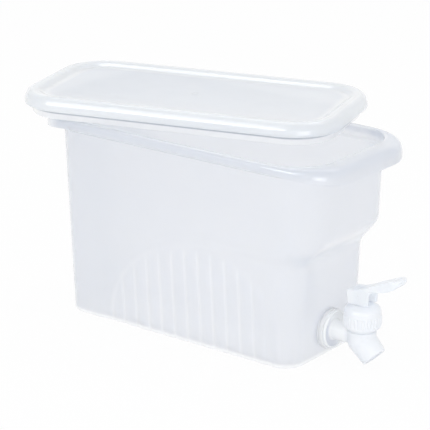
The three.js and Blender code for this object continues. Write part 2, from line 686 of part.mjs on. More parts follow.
const plastic = (color, roughness, opacity = 1) => {
  const transparent = opacity < 1;
  return new THREE.MeshStandardMaterial({ color, roughness, metalness: 0, opacity, transparent });
};
const NATURAL_PLASTIC = plastic(0xe6e9f0, 0.35, 0.55);
const LID_PLASTIC = plastic(0xf0f4f8, 0.25, 0.92);
const TAP_PLASTIC = plastic(0xf4f7fb, 0.25);
const SILICONE = plastic(0xeceff2, 0.6, 0.8);
const STEEL = new THREE.MeshStandardMaterial({ color: 0xb9bdc2, roughness: 0.3, metalness: 1 });

// Assembly

function piece(name, geometry, material) {
  const mesh = new THREE.Mesh(geometry, material);
  mesh.name = name;
  return mesh;
}

const tap = new THREE.Group();
tap.position.set(TAP_AXIS_X, 0, TAP_AXIS_Z);
tap.add(
  piece('tap_body', tapBody(), TAP_PLASTIC),
  piece('outer_washer', outerWasher(), SILICONE),
  piece('inner_washer', innerWasher(), SILICONE),
  piece('lock_nut', lockNut(), TAP_PLASTIC),
  piece('bonnet', bonnet(), TAP_PLASTIC),
  piece('bonnet_seal', bonnetSeal(), SILICONE),
  piece('valve_stem', valveStem(), TAP_PLASTIC),
  piece('valve_plug', valvePlug(), SILICONE),
  piece('stem_o_ring', stemORing(), SILICONE),
  piece('stem_spring', stemSpring(), STEEL),
);

const handle = new THREE.Group();
handle.position.z = PIVOT_RISE;
handle.add(piece('lever', lever(), TAP_PLASTIC), piece('lever_pin', leverPin(), TAP_PLASTIC));
tap.add(handle);

const lidPiece = piece('lid', lid(), LID_PLASTIC);
lidPiece.position.set(LID_CENTRE_X, LID_CENTRE_Y, TANK_HEIGHT + SEAT);
lidPiece.rotation.z = LID_YAW;

const jug = new THREE.Group();
jug.add(piece('tank', tank(), NATURAL_PLASTIC), lidPiece, tap);

export default jug;
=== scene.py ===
# %% [markdown]
# # A slim fridge water jug, dressed around its CAD frame
# The jug is a translucent tank with a fluted side panel, a loose lid and a push tap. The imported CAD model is
# the frame: every piece below sits exactly where the CAD has it, in metres, with +X to the tap and +Z up.
# Hidden tap pieces keep their CAD meshes. What the eye sees up close is modelled again with rounder edges.

# %% Load the frame
import math

import bmesh
import bpy
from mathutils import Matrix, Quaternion, Vector


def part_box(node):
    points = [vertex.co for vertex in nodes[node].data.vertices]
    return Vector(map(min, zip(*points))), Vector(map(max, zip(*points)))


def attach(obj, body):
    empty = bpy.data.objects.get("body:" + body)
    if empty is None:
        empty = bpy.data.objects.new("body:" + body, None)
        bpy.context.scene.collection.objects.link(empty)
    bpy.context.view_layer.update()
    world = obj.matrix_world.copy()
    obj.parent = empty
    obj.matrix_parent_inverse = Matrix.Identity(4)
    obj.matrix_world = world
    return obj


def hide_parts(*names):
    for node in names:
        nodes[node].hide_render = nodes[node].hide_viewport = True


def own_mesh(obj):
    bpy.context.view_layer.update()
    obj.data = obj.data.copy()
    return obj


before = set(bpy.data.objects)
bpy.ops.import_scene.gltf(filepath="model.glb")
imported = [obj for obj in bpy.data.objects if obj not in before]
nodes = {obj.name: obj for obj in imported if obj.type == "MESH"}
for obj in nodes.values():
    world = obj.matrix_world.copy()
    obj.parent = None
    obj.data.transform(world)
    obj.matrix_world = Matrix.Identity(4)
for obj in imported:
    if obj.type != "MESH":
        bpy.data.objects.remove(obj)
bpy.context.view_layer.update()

# %% [markdown]
# ## The camera
# A product photograph is taken from far away with a long lens, so its verticals hardly converge. The camera
# stands at the photograph's azimuth and elevation and looks at the middle of the frame. Its lens follows
# from the focal length in pixels of the square frame and Blender's 36 mm sensor.

# %% Camera
FRAME_PIXELS = 430
FOCAL_PIXELS = 2014.5
SENSOR_MM = 36
CAMERA_AZIMUTH = math.radians(37.41)
CAMERA_ELEVATION = math.radians(18.48)
CAMERA_ROLL = math.radians(0.15)
CAMERA_DISTANCE = 1.583
CAMERA_TARGET = Vector((0.00195, 0, 0.08958))

towards_camera = Vector((
    math.sin(CAMERA_AZIMUTH) * math.cos(CAMERA_ELEVATION),
    -math.cos(CAMERA_AZIMUTH) * math.cos(CAMERA_ELEVATION),
    math.sin(CAMERA_ELEVATION),
))
bpy.ops.object.camera_add(location=CAMERA_TARGET + towards_camera * CAMERA_DISTANCE)
camera = bpy.context.object
camera.name = "photo_camera"
camera.rotation_mode = "QUATERNION"
camera.rotation_quaternion = (-towards_camera).to_track_quat("-Z", "Y") @ Quaternion((0, 0, 1), CAMERA_ROLL)
camera.data.sensor_width = SENSOR_MM
camera.data.lens = FOCAL_PIXELS / FRAME_PIXELS * SENSOR_MM
bpy.context.scene.camera = camera
print("lens in mm:", round(camera.data.lens, 1))

# %% [markdown]
# ## Helpers for modelling
# An operator acts on everything that is selected, so each piece starts from an empty selection. Two ways of
# making a body cover this jug. A moulded shell is a loft: one ring of points whose edge is extruded again
# and again, each new ring placed by the shell's own sizes. A turned piece is a half profile spun about its
# axis. The tap's body and lever are neither, so they start as copies of their CAD shapes.

# %% Modelling helpers
MERGE = 1e-6
SMOOTH_ANGLE = math.radians(32)
CORNER_ROOM = 0.45
ARC_STEPS = 4


def deselect_all():
    if bpy.context.object and bpy.context.object.mode != "OBJECT":
        bpy.ops.object.mode_set(mode="OBJECT")
    bpy.ops.object.select_all(action="DESELECT")


def activate(piece):
    deselect_all()
    piece.select_set(True)
    bpy.context.view_layer.objects.active = piece


def close_up(piece):
    """Merges doubles, turns all faces outwards and shades smooth, with edges sharp above an angle."""
    activate(piece)
    bpy.ops.object.mode_set(mode="EDIT")
    bpy.ops.mesh.select_all(action="SELECT")
    bpy.ops.mesh.remove_doubles(threshold=MERGE)
    bpy.ops.mesh.normals_make_consistent(inside=False)
    bpy.ops.object.mode_set(mode="OBJECT")
    bpy.ops.object.shade_smooth_by_angle(angle=SMOOTH_ANGLE)
    return piece


def loft(name, rings, closed=False):
    """Draws the first ring as a circle's points and extrudes its edge through the other rings.

    An open loft is filled at both ends; a closed one runs back into its first ring.
    """
    deselect_all()
    bpy.ops.mesh.primitive_circle_add(vertices=len(rings[0]))
    piece = bpy.context.object
    piece.name = name
    bpy.ops.object.mode_set(mode="EDIT")
    shell = bmesh.from_edit_mesh(piece.data)
    place = shell.verts.layers.int.new("place")
    shell.verts.ensure_lookup_table()
    for index, vertex in enumerate(shell.verts):
        vertex[place] = index
        vertex.co = rings[0][index]
    bpy.ops.mesh.select_mode(type="EDGE")
    bpy.ops.mesh.select_all(action="SELECT")
    if not closed:
        bpy.ops.mesh.edge_face_add()
    for ring in rings[1:] + (rings[:1] if closed else []):
        bpy.ops.mesh.extrude_edges_move()
        shell = bmesh.from_edit_mesh(piece.data)
        place = shell.verts.layers.int["place"]
        for vertex in shell.verts:
            if vertex.select:
                vertex.co = ring[vertex[place]]
        bmesh.update_edit_mesh(piece.data)
    if not closed:
        bpy.ops.mesh.edge_face_add()
    return close_up(piece)


def rounded(profile, radius, closed=False):
    """A polyline with every corner turned into a short arc, as far as its neighbours leave room."""
    smooth_line = []
    count = len(profile)
    for index, corner in enumerate(profile):
        if not closed and index in (0, count - 1):
            smooth_line.append(tuple(corner))
            continue
        here = Vector(corner)
        before = Vector(profile[index - 1]) - here
        after = Vector(profile[(index + 1) % count]) - here
        reach = min(radius, before.length * CORNER_ROOM, after.length * CORNER_ROOM)
        start = here + before.normalized() * reach
        end = here + after.normalized() * reach
        for step in range(ARC_STEPS + 1):
            share = step / ARC_STEPS
            smooth_line.append(tuple(start.lerp(here, share).lerp(here.lerp(end, share), share)))
    return smooth_line


def spun(name, profile, steps, centre, axis=(0, 0, 1)):
    """Turns a half profile of (radius, height) pairs about an axis through centre."""
    axis = Vector(axis)
    centre = Vector(centre)
    out = Vector((0, 1, 0)) if abs(axis.y) < 0.5 else Vector((1, 0, 0))
    points = [centre + out * radius + axis * height for radius, height in profile]
    deselect_all()
    bpy.ops.mesh.primitive_plane_add()
    piece = bpy.context.object
    piece.name = name
    bpy.ops.object.mode_set(mode="EDIT")
    bpy.ops.mesh.select_mode(type="VERT")
    bpy.ops.mesh.select_all(action="SELECT")
    bpy.ops.mesh.merge(type="CENTER")
    bpy.ops.transform.translate(value=points[0])
    for start, end in zip(points, points[1:]):
        bpy.ops.mesh.extrude_region_move(TRANSFORM_OT_translate={"value": end - start})
    bpy.ops.mesh.select_all(action="SELECT")
    bpy.ops.mesh.spin(steps=steps, angle=2 * math.pi, center=centre, axis=axis)
    return close_up(piece)


def apply_modifier(piece, kind, **settings):
    activate(piece)
    bpy.ops.object.modifier_add(type=kind)
    modifier = piece.modifiers[-1]
    for name, value in settings.items():
        setattr(modifier, name, value)
    bpy.ops.object.modifier_apply(modifier=modifier.name)


def combine(piece, tool, operation):
    """Joins or cuts piece with tool, which is used up."""
    apply_modifier(piece, "BOOLEAN", object=tool, operation=operation, solver="EXACT")
    bpy.data.objects.remove(tool)


def moulded_copy(name, node, voxel, passes, cutters=()):
    """A CAD node's shape with the soft edges of a moulding: its copy cut, remeshed finely, then relaxed."""
    activate(nodes[node])
    bpy.ops.object.duplicate()
    piece = bpy.context.object
    piece.name = name
    for key in [key for key in piece.keys() if key.startswith("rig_")]:
        del piece[key]
    piece.parent = None
    close_up(piece)
    for cutter in cutters:
        combine(piece, cutter, "DIFFERENCE")
    apply_modifier(piece, "REMESH", mode="VOXEL", voxel_size=voxel)
    apply_modifier(piece, "SMOOTH", iterations=passes)
    bpy.ops.object.shade_smooth()
    return piece


def dress(piece, material, body, slot, *replaced):
    """Gives a finished piece its material and its CAD body, and hides the CAD nodes it stands for; slot is not
    used.
    """
    piece.data.materials.clear()
    piece.data.materials.append(material)
    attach(piece, body)
    if replaced:
        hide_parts(*replaced)
    print(piece.name, "has", len(piece.data.polygons), "faces")


# %% [markdown]
# ## Plastics that are not flat colours
# The tank is natural polypropylene: milky, a little blue, with light passing through its wall and a faint
# cloudiness where the melt flowed. The lid is the same plastic, but thicker, so less light comes through.
# The tap is solid white. Every finish has a weak change of colour over centimetres, a change of roughness
# where hands rub it, and a bump of moulded grain. The patterns read Object coordinates, which never slide.

# %% Material helpers
MM = 0.001


def new_material(name):
    """An empty node material with its shader and output, and Object coordinates ready for patterns."""
    material = bpy.data.materials.new(name)
    material.use_nodes = True
    tree = material.node_tree
    shader = tree.nodes["Principled BSDF"]
    coordinates = tree.nodes.new("ShaderNodeTexCoord").outputs["Object"]
    return material, tree, shader, coordinates


def noise(tree, coordinates, size, detail=2.0):
    """Noise whose features are about as wide as size, in metres."""
    texture = tree.nodes.new("ShaderNodeTexNoise")
    texture.inputs["Scale"].default_value = 1 / size
    texture.inputs["Detail"].default_value = detail
    tree.links.new(coordinates, texture.inputs["Vector"])
    return texture.outputs["Fac"]


def spread(tree, factor, low, high):
    """Maps noise's middle range to values between low and high."""
    ramp = tree.nodes.new("ShaderNodeMapRange")
    ramp.inputs["From Min"].default_value = NOISE_MIDDLE[0]
    ramp.inputs["From Max"].default_value = NOISE_MIDDLE[1]
    ramp.inputs["To Min"].default_value = low
    ramp.inputs["To Max"].default_value = high
    tree.links.new(factor, ramp.inputs["Value"])
    return ramp.outputs["Result"]


def blend_colours(tree, factor, first, second):
    """The first colour where factor is 0, and the second where it is 1."""
    mix = tree.nodes.new("ShaderNodeMix")
    mix.data_type = "RGBA"
    mix.inputs["A"].default_value = (*first, 1)
    mix.inputs["B"].default_value = (*second, 1)
    tree.links.new(factor, mix.inputs["Factor"])
    return mix.outputs["Result"]


def maths(tree, operation, first, second=0.0):
    """A Math node's output; each of its two inputs is a socket or a number."""
    node = tree.nodes.new("ShaderNodeMath")
    node.operation = operation
    for place, value in enumerate((first, second)):
        if isinstance(value, (int, float)):
            node.inputs[place].default_value = value
        else:
            tree.links.new(value, node.inputs[place])
    return node.outputs[0]


def product(tree, *factors):
    """All the factors multiplied together."""
    result = factors[0]
    for factor in factors[1:]:
        result = maths(tree, "MULTIPLY", result, factor)
    return result


def distance(tree, first, second):
    """How far a point at (first, second) is from (0, 0)."""
    squares = maths(tree, "ADD", product(tree, first, first), product(tree, second, second))
    return maths(tree, "SQRT", squares)


def at_least(tree, factor, least):
    """Squeezes a factor of 0 to 1 into the range from least to 1."""
    return maths(tree, "ADD", product(tree, factor, 1 - least), least)


def rise(tree, value, start, end):
    """0 where value is at start, 1 where it is at end, with a smooth change between."""
    ramp = tree.nodes.new("ShaderNodeMapRange")
    ramp.interpolation_type = "SMOOTHSTEP"
    ramp.inputs["From Min"].default_value = start
    ramp.inputs["From Max"].default_value = end
    tree.links.new(value, ramp.inputs["Value"])
    return ramp.outputs["Result"]


def grain(tree, shader, coordinates, size, height):
    """A moulded surface's fine bump."""
    bump = tree.nodes.new("ShaderNodeBump")
    bump.inputs["Distance"].default_value = height
    tree.links.new(noise(tree, coordinates, size), bump.inputs["Height"])
    tree.links.new(bump.outputs["Normal"], shader.inputs["Normal"])


def moulded_plastic(name, light, deep, roughness, cloud, transmission=0.0, scatter=0.0, coat=0.0):
    """A moulded plastic: two close colours in slow clouds, rubbed roughness and a fine grain."""
    material, tree, shader, coordinates = new_material(name)
    clouds = spread(tree, noise(tree, coordinates, cloud, detail=3), 0, 1)
    tree.links.new(blend_colours(tree, clouds, light, deep), shader.inputs["Base Color"])
    least, most = RUBBED_SHARES
    rubbed = spread(tree, noise(tree, coordinates, RUB_SIZE), roughness * least, roughness * most)
    tree.links.new(rubbed, shader.inputs["Roughness"])
    grain(tree, shader, coordinates, GRAIN_SIZE, GRAIN_HEIGHT)
    shader.inputs["IOR"].default_value = PLASTIC_IOR
    shader.inputs["Transmission Weight"].default_value = transmission
    shader.inputs["Subsurface Weight"].default_value = scatter
    shader.inputs["Subsurface Radius"].default_value = SCATTER_RADIUS
    shader.inputs["Subsurface Scale"].default_value = SCATTER_SCALE
    shader.inputs["Coat Weight"].default_value = coat
    shader.inputs["Coat Roughness"].default_value = COAT_ROUGHNESS
    return material


def let_light_in(material, from_inside, shadow):
    """Makes every face clear where light meets it from inside the plastic, and its shadow paler.

    Light then changes only once as it passes a wall, and not once for each of the wall's two faces.
    """
    tree = material.node_tree
    shader = tree.nodes["Principled BSDF"]
    clear = tree.nodes.new("ShaderNodeBsdfTransparent")
    clear.inputs["Color"].default_value = CLEAR_TINT
    geometry = tree.nodes.new("ShaderNodeNewGeometry")
    mix = tree.nodes.new("ShaderNodeMixShader")
    path = tree.nodes.new("ShaderNodeLightPath")
    inside = product(tree, geometry.outputs["Backfacing"], from_inside)
    passed = product(tree, path.outputs["Is Shadow Ray"], shadow)
    tree.links.new(maths(tree, "MAXIMUM", inside, passed), mix.inputs["Fac"])
    tree.links.new(shader.outputs[0], mix.inputs[1])
    tree.links.new(clear.outputs[0], mix.inputs[2])
    tree.links.new(mix.outputs[0], tree.nodes["Material Output"].inputs["Surface"])


NOISE_MIDDLE = (0.3, 0.7)
CLEAR_TINT = (0.97, 0.975, 0.985, 1)
COAT_ROUGHNESS = 0.08
PLASTIC_IOR = 1.49
RUB_SIZE = 18 * MM
RUBBED_SHARES = (0.92, 1.15)
GRAIN_SIZE = 1.6 * MM
GRAIN_HEIGHT = 0.02 * MM
SCATTER_RADIUS = (1.0, 1.05, 1.15)
SCATTER_SCALE = 4 * MM

# %% [markdown]
# Each finish is measured against the photograph. The tank's wall lets most light through, the pad round the
# tap and the lid less, and the tap's body none. In every plastic the shadow is made paler, as real
# milky plastic scatters light into it.

# %% The jug's finishes
SATIN = 0.33
tank_plastic = moulded_plastic(
    "milky_tank_plastic", (0.86, 0.873, 0.905), (0.845, 0.862, 0.9), SATIN, 60 * MM,
    transmission=0.6, scatter=0.3, coat=1)
let_light_in(tank_plastic, 1, 0.5)
pad_plastic = moulded_plastic(
    "dense_pad_plastic", (0.88, 0.9, 0.935), (0.87, 0.89, 0.93), SATIN, 60 * MM,
    transmission=0.05, scatter=0.4, coat=0.5)
let_light_in(pad_plastic, 1, 0.5)
lid_plastic = moulded_plastic(
    "milky_lid_plastic", (0.85, 0.88, 0.91), (0.84, 0.87, 0.905), SATIN, 45 * MM,
    transmission=0.3, scatter=0.35, coat=1)
let_light_in(lid_plastic, 1, 0.5)
tap_plastic = moulded_plastic(
    "white_tap_plastic", (0.88, 0.905, 0.95), (0.865, 0.895, 0.945), SATIN, 12 * MM, scatter=0.2, coat=0.3)
let_light_in(tap_plastic, 0, 0.85)
lever_plastic = moulded_plastic(
    "white_lever_plastic", (0.9, 0.93, 0.97), (0.885, 0.92, 0.965), SATIN, 12 * MM,
    transmission=0.2, scatter=0.2, coat=0.3)
let_light_in(lever_plastic, 1, 0.85)
silicone = moulded_plastic(
    "pale_silicone", (0.965, 0.98, 1), (0.95, 0.97, 0.995), 0.5, 6 * MM, transmission=0.1, scatter=0.3)
let_light_in(silicone, 1, 0.5)


def drawn_wire():
    """Stainless wire: bright metal with fine lines left by the die."""
    material, tree, shader, coordinates = new_material("drawn_wire")
    shader.inputs["Metallic"].default_value = 1
    lines = spread(tree, noise(tree, coordinates, DIE_LINE, detail=4), 0, 1)
    tree.links.new(blend_colours(tree, lines, WIRE_BRIGHT, WIRE_DULL), shader.inputs["Base Color"])
    rough = spread(tree, noise(tree, coordinates, DIE_SCRATCH), *WIRE_ROUGHNESS)
    tree.links.new(rough, shader.inputs["Roughness"])
    return material


DIE_LINE = 0.5 * MM
DIE_SCRATCH = 0.3 * MM
WIRE_BRIGHT = (0.58, 0.59, 0.61)
WIRE_DULL = (0.5, 0.51, 0.53)
WIRE_ROUGHNESS = (0.22, 0.38)
spring_steel = drawn_wire()
print("materials so far:", len(bpy.data.materials))

# %% [markdown]
# ## The tank: sizes
# The tank is one moulding. Its walls lean out by a draft of a few degrees so that it leaves the mould, its
# corners grow rounder towards the mouth, and the front end's upper half steps out over the tap. The same
# step runs back along both long sides as the upper edge of a shallow arched recess, which holds the upright
# flutes.

# %% Tank sizes
TANK_HEIGHT = 165 * MM
FOOT_LENGTH = 221.4 * MM
FOOT_WIDTH = 99 * MM
FOOT_CORNER = 16 * MM
FOOT_FILLET = 1.6 * MM
WALL = 2 * MM
FLOOR = 2.4 * MM
END_DRAFT = math.radians(2.35)
SIDE_DRAFT = math.radians(4.18)
CORNER_GROWTH = 16 * MM
LEDGE_DEPTH = 14.5 * MM
LEDGE_LOW = 78.5 * MM
LEDGE_HIGH = 104 * MM
ARCH_CENTRE_X = 35 * MM
ARCH_REAR_REACH = 105 * MM
ARCH_FRONT_REACH = 80 * MM
ARCH_HEIGHT = 88 * MM
ARCH_EDGE = 9 * MM
PANEL_RECESS = 1.5 * MM
FLUTE_PITCH = 12.8 * MM
FLUTE_START_X = -76.6 * MM
FLUTE_COUNT = 13
FLUTE_DEPTH = 1 * MM
FLUTE_FADE = 10 * MM
SIDE_LIP_WIDTH = 6 * MM
SIDE_LIP_DEPTH = 6.4 * MM
END_LIP_WIDTH = 16.5 * MM
END_LIP_DEPTH = 13.4 * MM
LIP_THICK = 1.8 * MM
MOUTH_ROUND = 1.1 * MM
MOUTH_STEPS = 6
REBATE = 2.2 * MM
REBATE_DEPTH = 7.8 * MM
REBATE_WALL = 1.3 * MM
BOSS_RADIUS = 15.8 * MM
BOSS_PROUD = 0.4 * MM
TAP_AXIS_Z = 21.4 * MM
SHANK_HOLE = 7.7 * MM

CORNER_STEPS = 12
END_SHARES = (0.1, 0.3, 0.5, 0.7, 0.9)
FLUTE_SHARES = (0, 0.04, 0.12, 0.28, 0.5, 0.72, 0.88, 0.96)
WALL_STEP = 2 * MM


def smooth(share):
    """Eases a share of 0 to 1 in and out."""
    share = min(max(share, 0), 1)
    return share * share * (3 - 2 * share)


def outline(rear, front, half, corner, along):
    """A rounded rectangle as (x, y, nx, ny), counter-clockwise from the front far corner."""
    points = []

    def add_corner(x, y, quarter):
        for step in range(CORNER_STEPS + 1):
            angle = (quarter + step / CORNER_STEPS) * math.pi / 2
            nx, ny = math.cos(angle), math.sin(angle)
            points.append((x + corner * nx, y + corner * ny, nx, ny))

    reach = half - corner
    ends = [reach * (1 - 2 * share) for share in END_SHARES]
    add_corner(front - corner, reach, 0)
    points.extend((x, half, 0, 1) for x in reversed(along))
    add_corner(rear + corner, reach, 1)
    points.extend((rear, y, -1, 0) for y in ends)
    add_corner(rear + corner, -reach, 2)
    points.extend((x, -half, 0, -1) for x in along)
    add_corner(front - corner, -reach, 3)
    points.extend((front, -y, 1, 0) for y in ends)
    return points


print("foot in millimetres:", round(FOOT_LENGTH / MM, 1), "long; tank:", round(TANK_HEIGHT / MM), "high")

# %% [markdown]
# ## The tank: walls, arch and flutes
# Each ring of the wall is the plain section at its height, moved in by the recess and out by the reeds
# between the flutes. Both moves are worked out from the place on the arch, so the flutes end where it does.

# %% Tank walls
def section(z, inset=0.0):
    """The plain wall at the height z: its rear and front x, its half width and its corner radius."""
    ends = math.tan(END_DRAFT) * z
    ledge = LEDGE_DEPTH * smooth((z - LEDGE_LOW) / (LEDGE_HIGH - LEDGE_LOW))
    return (
        inset - FOOT_LENGTH / 2 - ends,
        FOOT_LENGTH / 2 + ends + ledge - inset,
        FOOT_WIDTH / 2 + math.tan(SIDE_DRAFT) * z - inset,
        FOOT_CORNER + CORNER_GROWTH * (z / TANK_HEIGHT) - inset,
    )


def inside_arch(x, z, height):
    """Depth inside an arch of this height, in metres: positive within it."""
    reach = ARCH_REAR_REACH if x < ARCH_CENTRE_X else ARCH_FRONT_REACH
    return height * (1 - math.hypot((x - ARCH_CENTRE_X) / reach, z / height))


def recess(x, z, ny):
    """How far the panel is sunk, on the long sides only."""
    arch = inside_arch(x, z, ARCH_HEIGHT) if x < ARCH_CENTRE_X else ARCH_HEIGHT - z
    return PANEL_RECESS * smooth(arch / ARCH_EDGE + 0.5) * ny * ny


def flute(x, z, ny):
    """Outward swell of the reeds, which meet in sharp grooves one pitch apart."""
    place = (x - FLUTE_START_X) / FLUTE_PITCH
    if place < 0:
        return 0
    fade = smooth(inside_arch(x, z, ARCH_HEIGHT - ARCH_EDGE / 2) / FLUTE_FADE)
    return FLUTE_DEPTH * abs(math.sin(place * math.pi)) * fade * ny ** 4


flute_places = [
    FLUTE_START_X + (index + share) * FLUTE_PITCH
    for index in range(FLUTE_COUNT) for share in FLUTE_SHARES
]


def wall_ring(z, inset=0.0, fluted=False):
    """The wall's outline at the height z, with its recess and, where asked, its flutes."""
    ring = []
    for x, y, nx, ny in outline(*section(z, inset), flute_places):
        move = (flute(x, z, ny) if fluted else 0) - recess(x, z, ny)
        ring.append((x + move * nx, y + move * ny, z))
    return ring


print("points in a ring of the wall:", len(wall_ring(0)))

# %% [markdown]
# ## The tank: rim and end lips
# The rim folds outwards. On the long sides it is a narrow flange, and at both ends it widens into a deep
# rolled lip that fingers reach under. Width and depth change smoothly round the four corners. Seen in
# section the lip is a quarter of a superellipse, and its underside is the same curve moved in by the lip's
# thickness.

# %% Tank rim
LIP_OVAL = 4.4
LIP_STEPS = 12
UPPER_SHARES = (0.1, 0.35, 0.65, 0.92)


def lip_share(nx, ny):
    """None on the long sides, all of it on the ends."""
    return smooth(1 - math.atan2(abs(ny), abs(nx)) / (math.pi / 2))


def rim_ring(width_share, depth_share, out=0.0, down=0.0, trim=0.0):
    """A ring round the mouth, out and down by shares of the lip's width and depth at each point."""
    ring = []
    for x, y, nx, ny in outline(*section(TANK_HEIGHT), flute_places):
        share = lip_share(nx, ny)
        width = SIDE_LIP_WIDTH + (END_LIP_WIDTH - SIDE_LIP_WIDTH) * share - trim
        depth = SIDE_LIP_DEPTH + (END_LIP_DEPTH - SIDE_LIP_DEPTH) * share - down
        move = out + width * width_share
        ring.append((x + move * nx, y + move * ny, TANK_HEIGHT - down - depth * depth_share))
    return ring


def lip_shares(first_step):
    """Shares of width and depth along the lip's curved section, from its top to its lower edge."""
    shares = []
    for step in range(first_step, LIP_STEPS + 1):
        angle = step / LIP_STEPS * math.pi / 2
        shares.append((math.sin(angle) ** (2 / LIP_OVAL), 1 - math.cos(angle) ** (2 / 3)))
    return shares


def tank_rings():
    """All the tank's rings, from the foot up the outside, over the rim and down the inside."""
    filleted = []
    for step in range(1, 5):
        angle = step / 4 * math.pi / 2
        inset = FOOT_FILLET * (1 - math.sin(angle))
        filleted.append(wall_ring(FOOT_FILLET * (1 - math.cos(angle)), inset, fluted=True))
    foot = [[(x, y, 0) for x, y, _ in wall_ring(0, FOOT_FILLET)]]
    fluted_steps = round(LEDGE_HIGH / WALL_STEP)
    heights = [LEDGE_HIGH * step / fluted_steps for step in range(1, fluted_steps + 1)]
    rebate_foot = TANK_HEIGHT - REBATE_DEPTH - REBATE
    upper = [LEDGE_HIGH + (rebate_foot - LEDGE_HIGH) * share for share in UPPER_SHARES]
    walls = [wall_ring(z, 0, fluted=True) for z in heights + upper]
    mouth = REBATE - WALL
    rebate = mouth + REBATE_WALL
    under = [rim_ring(w, d, down=LIP_THICK, trim=LIP_THICK) for w, d in lip_shares(3)]
    over = [rim_ring(w, d) for w, d in reversed(lip_shares(1))]
    mouth_edge = []
    for step in range(MOUTH_STEPS + 1):
        angle = step / MOUTH_STEPS * math.pi / 2
        out = mouth + MOUTH_ROUND * (1 - math.sin(angle))
        mouth_edge.append(rim_ring(0, 0, out=out, down=MOUTH_ROUND * (1 - math.cos(angle))))
    rim = [
        wall_ring(rebate_foot),
        rim_ring(0, 0, out=rebate * 0.3, down=REBATE_DEPTH + REBATE * 0.7),
        rim_ring(0, 0, out=rebate * 0.8, down=REBATE_DEPTH + REBATE * 0.3),
        rim_ring(0, 0, out=rebate, down=REBATE_DEPTH),
        rim_ring(0, 0, out=rebate, down=LIP_THICK + MOUTH_ROUND),
        rim_ring(0, 0, out=rebate + MOUTH_ROUND / 3, down=LIP_THICK + MOUTH_ROUND / 3),
        *under,
        rim_ring(1, 1, out=-LIP_THICK * 0.7, down=LIP_THICK / 8),
        rim_ring(1, 1, out=-LIP_THICK * 0.3),
        *over,
        *mouth_edge,
        rim_ring(0, 0, out=mouth, down=REBATE_DEPTH),
        rim_ring(0, 0, out=mouth - REBATE * 0.2, down=REBATE_DEPTH + REBATE * 0.4),
    ]
    inner_heights = [z + WALL / 2 for z in reversed(heights[2::3])]
    inner = [wall_ring(z, WALL) for z in [rebate_foot, *reversed(upper), *inner_heights]]
    for step in range(4):
        angle = step / 3 * math.pi / 2
        lift = FOOT_FILLET * (1 - math.sin(angle))
        inner.append(wall_ring(FLOOR + lift, WALL + FOOT_FILLET * (1 - math.cos(angle))))
    return foot + filleted + walls + rim + inner


tank = loft("tank_shell", tank_rings())
print("tank shell points:", len(tank.data.vertices))

# %% [markdown]
# ## Light and shade in natural plastic
# Natural plastic gathers light and lets it out at sharp edges, so the grooves between the reeds, the foot
# of the arch's step and the tank's foot show as pale, soft lines; these are painted highlights, and the
# reeds' middles get a little painted shade. Where the wall is doubled or turned edge-on, as in the rim's fold
# and in the step over the tap, it looks deeper and bluer, and the same painted shade also darkens the far
# front and the rear end. Both are painted into the base colour from the same places as the shape: the
# distance to the nearest groove, the depth inside the arch and the distance outside the mouth.

# %% Painted highlights and shade
# Colours of the painted highlights and painted shade, and the sizes of the places they cover.
PAINTED_LIGHT_LINE = (0.97, 0.98, 1)
PAINTED_REED_SHADE = (0.84, 0.857, 0.895)
PAINTED_SHADE_BLUE = (0.76, 0.795, 0.855)
GROOVE_LINE = 2.4 * MM
GROOVE_STRENGTH = 0.65
STEP_LINE = 3 * MM
STEP_STRENGTH = 0.3
LEVEL_STEP_SHARE = 0.1
FOOT_LINE = 5 * MM
LINES_END_X = 72 * MM
SIDE_Y = (40 * MM, 45 * MM)
RIM_FOLD = 1 * MM
RIM_SIDE_STRENGTH = 0.22
RIM_MOUTH_SHARE = 0.5
RIM_FULL = (3 * MM, 9 * MM)
RIM_TOP_Z = (155 * MM, 163 * MM)
FAR_LIP = (0, 4 * MM)
PAINTED_DEEPEST_SHADE = (0.62, 0.67, 0.77)
REAR_SHADE_X = (-92 * MM, -116 * MM)
REAR_STRENGTH = 0.95
FAR_SHADE_Y = (15 * MM, 56 * MM)
FAR_STRENGTH = 0.6
STEP_SHADE_Z = (78 * MM, 85 * MM, 89 * MM, 98 * MM)
STEP_SHADE_X = (105 * MM, 119 * MM)


def axes_of(tree):
    """The Object coordinates as three single values."""
    separate = tree.nodes.new("ShaderNodeSeparateXYZ")
    tree.links.new(tree.nodes["Texture Coordinate"].outputs["Object"], separate.inputs[0])
    return separate.outputs


def outside_box(tree, x, y, length, width, corner):
    """Distance outside a rounded rectangle round (0, 0), in metres, and less than 0 inside it."""
    across = maths(tree, "MAXIMUM", maths(tree, "SUBTRACT", maths(tree, "ABSOLUTE", x), length - corner), 0)
    along = maths(tree, "MAXIMUM", maths(tree, "SUBTRACT", maths(tree, "ABSOLUTE", y), width - corner), 0)
    return maths(tree, "SUBTRACT", distance(tree, across, along), corner)


def paint(tree, factor, colour):
    """Lays a colour over the base colour, as strongly as factor says."""
    base = tree.nodes["Principled BSDF"].inputs["Base Color"]
    under = base.links[0].from_socket
    mix = tree.nodes.new("ShaderNodeMix")
    mix.data_type = "RGBA"
    mix.inputs["B"].default_value = (*colour, 1)
    tree.links.new(under, mix.inputs["A"])
    tree.links.new(factor, mix.inputs["Factor"])
    tree.links.new(mix.outputs["Result"], base)


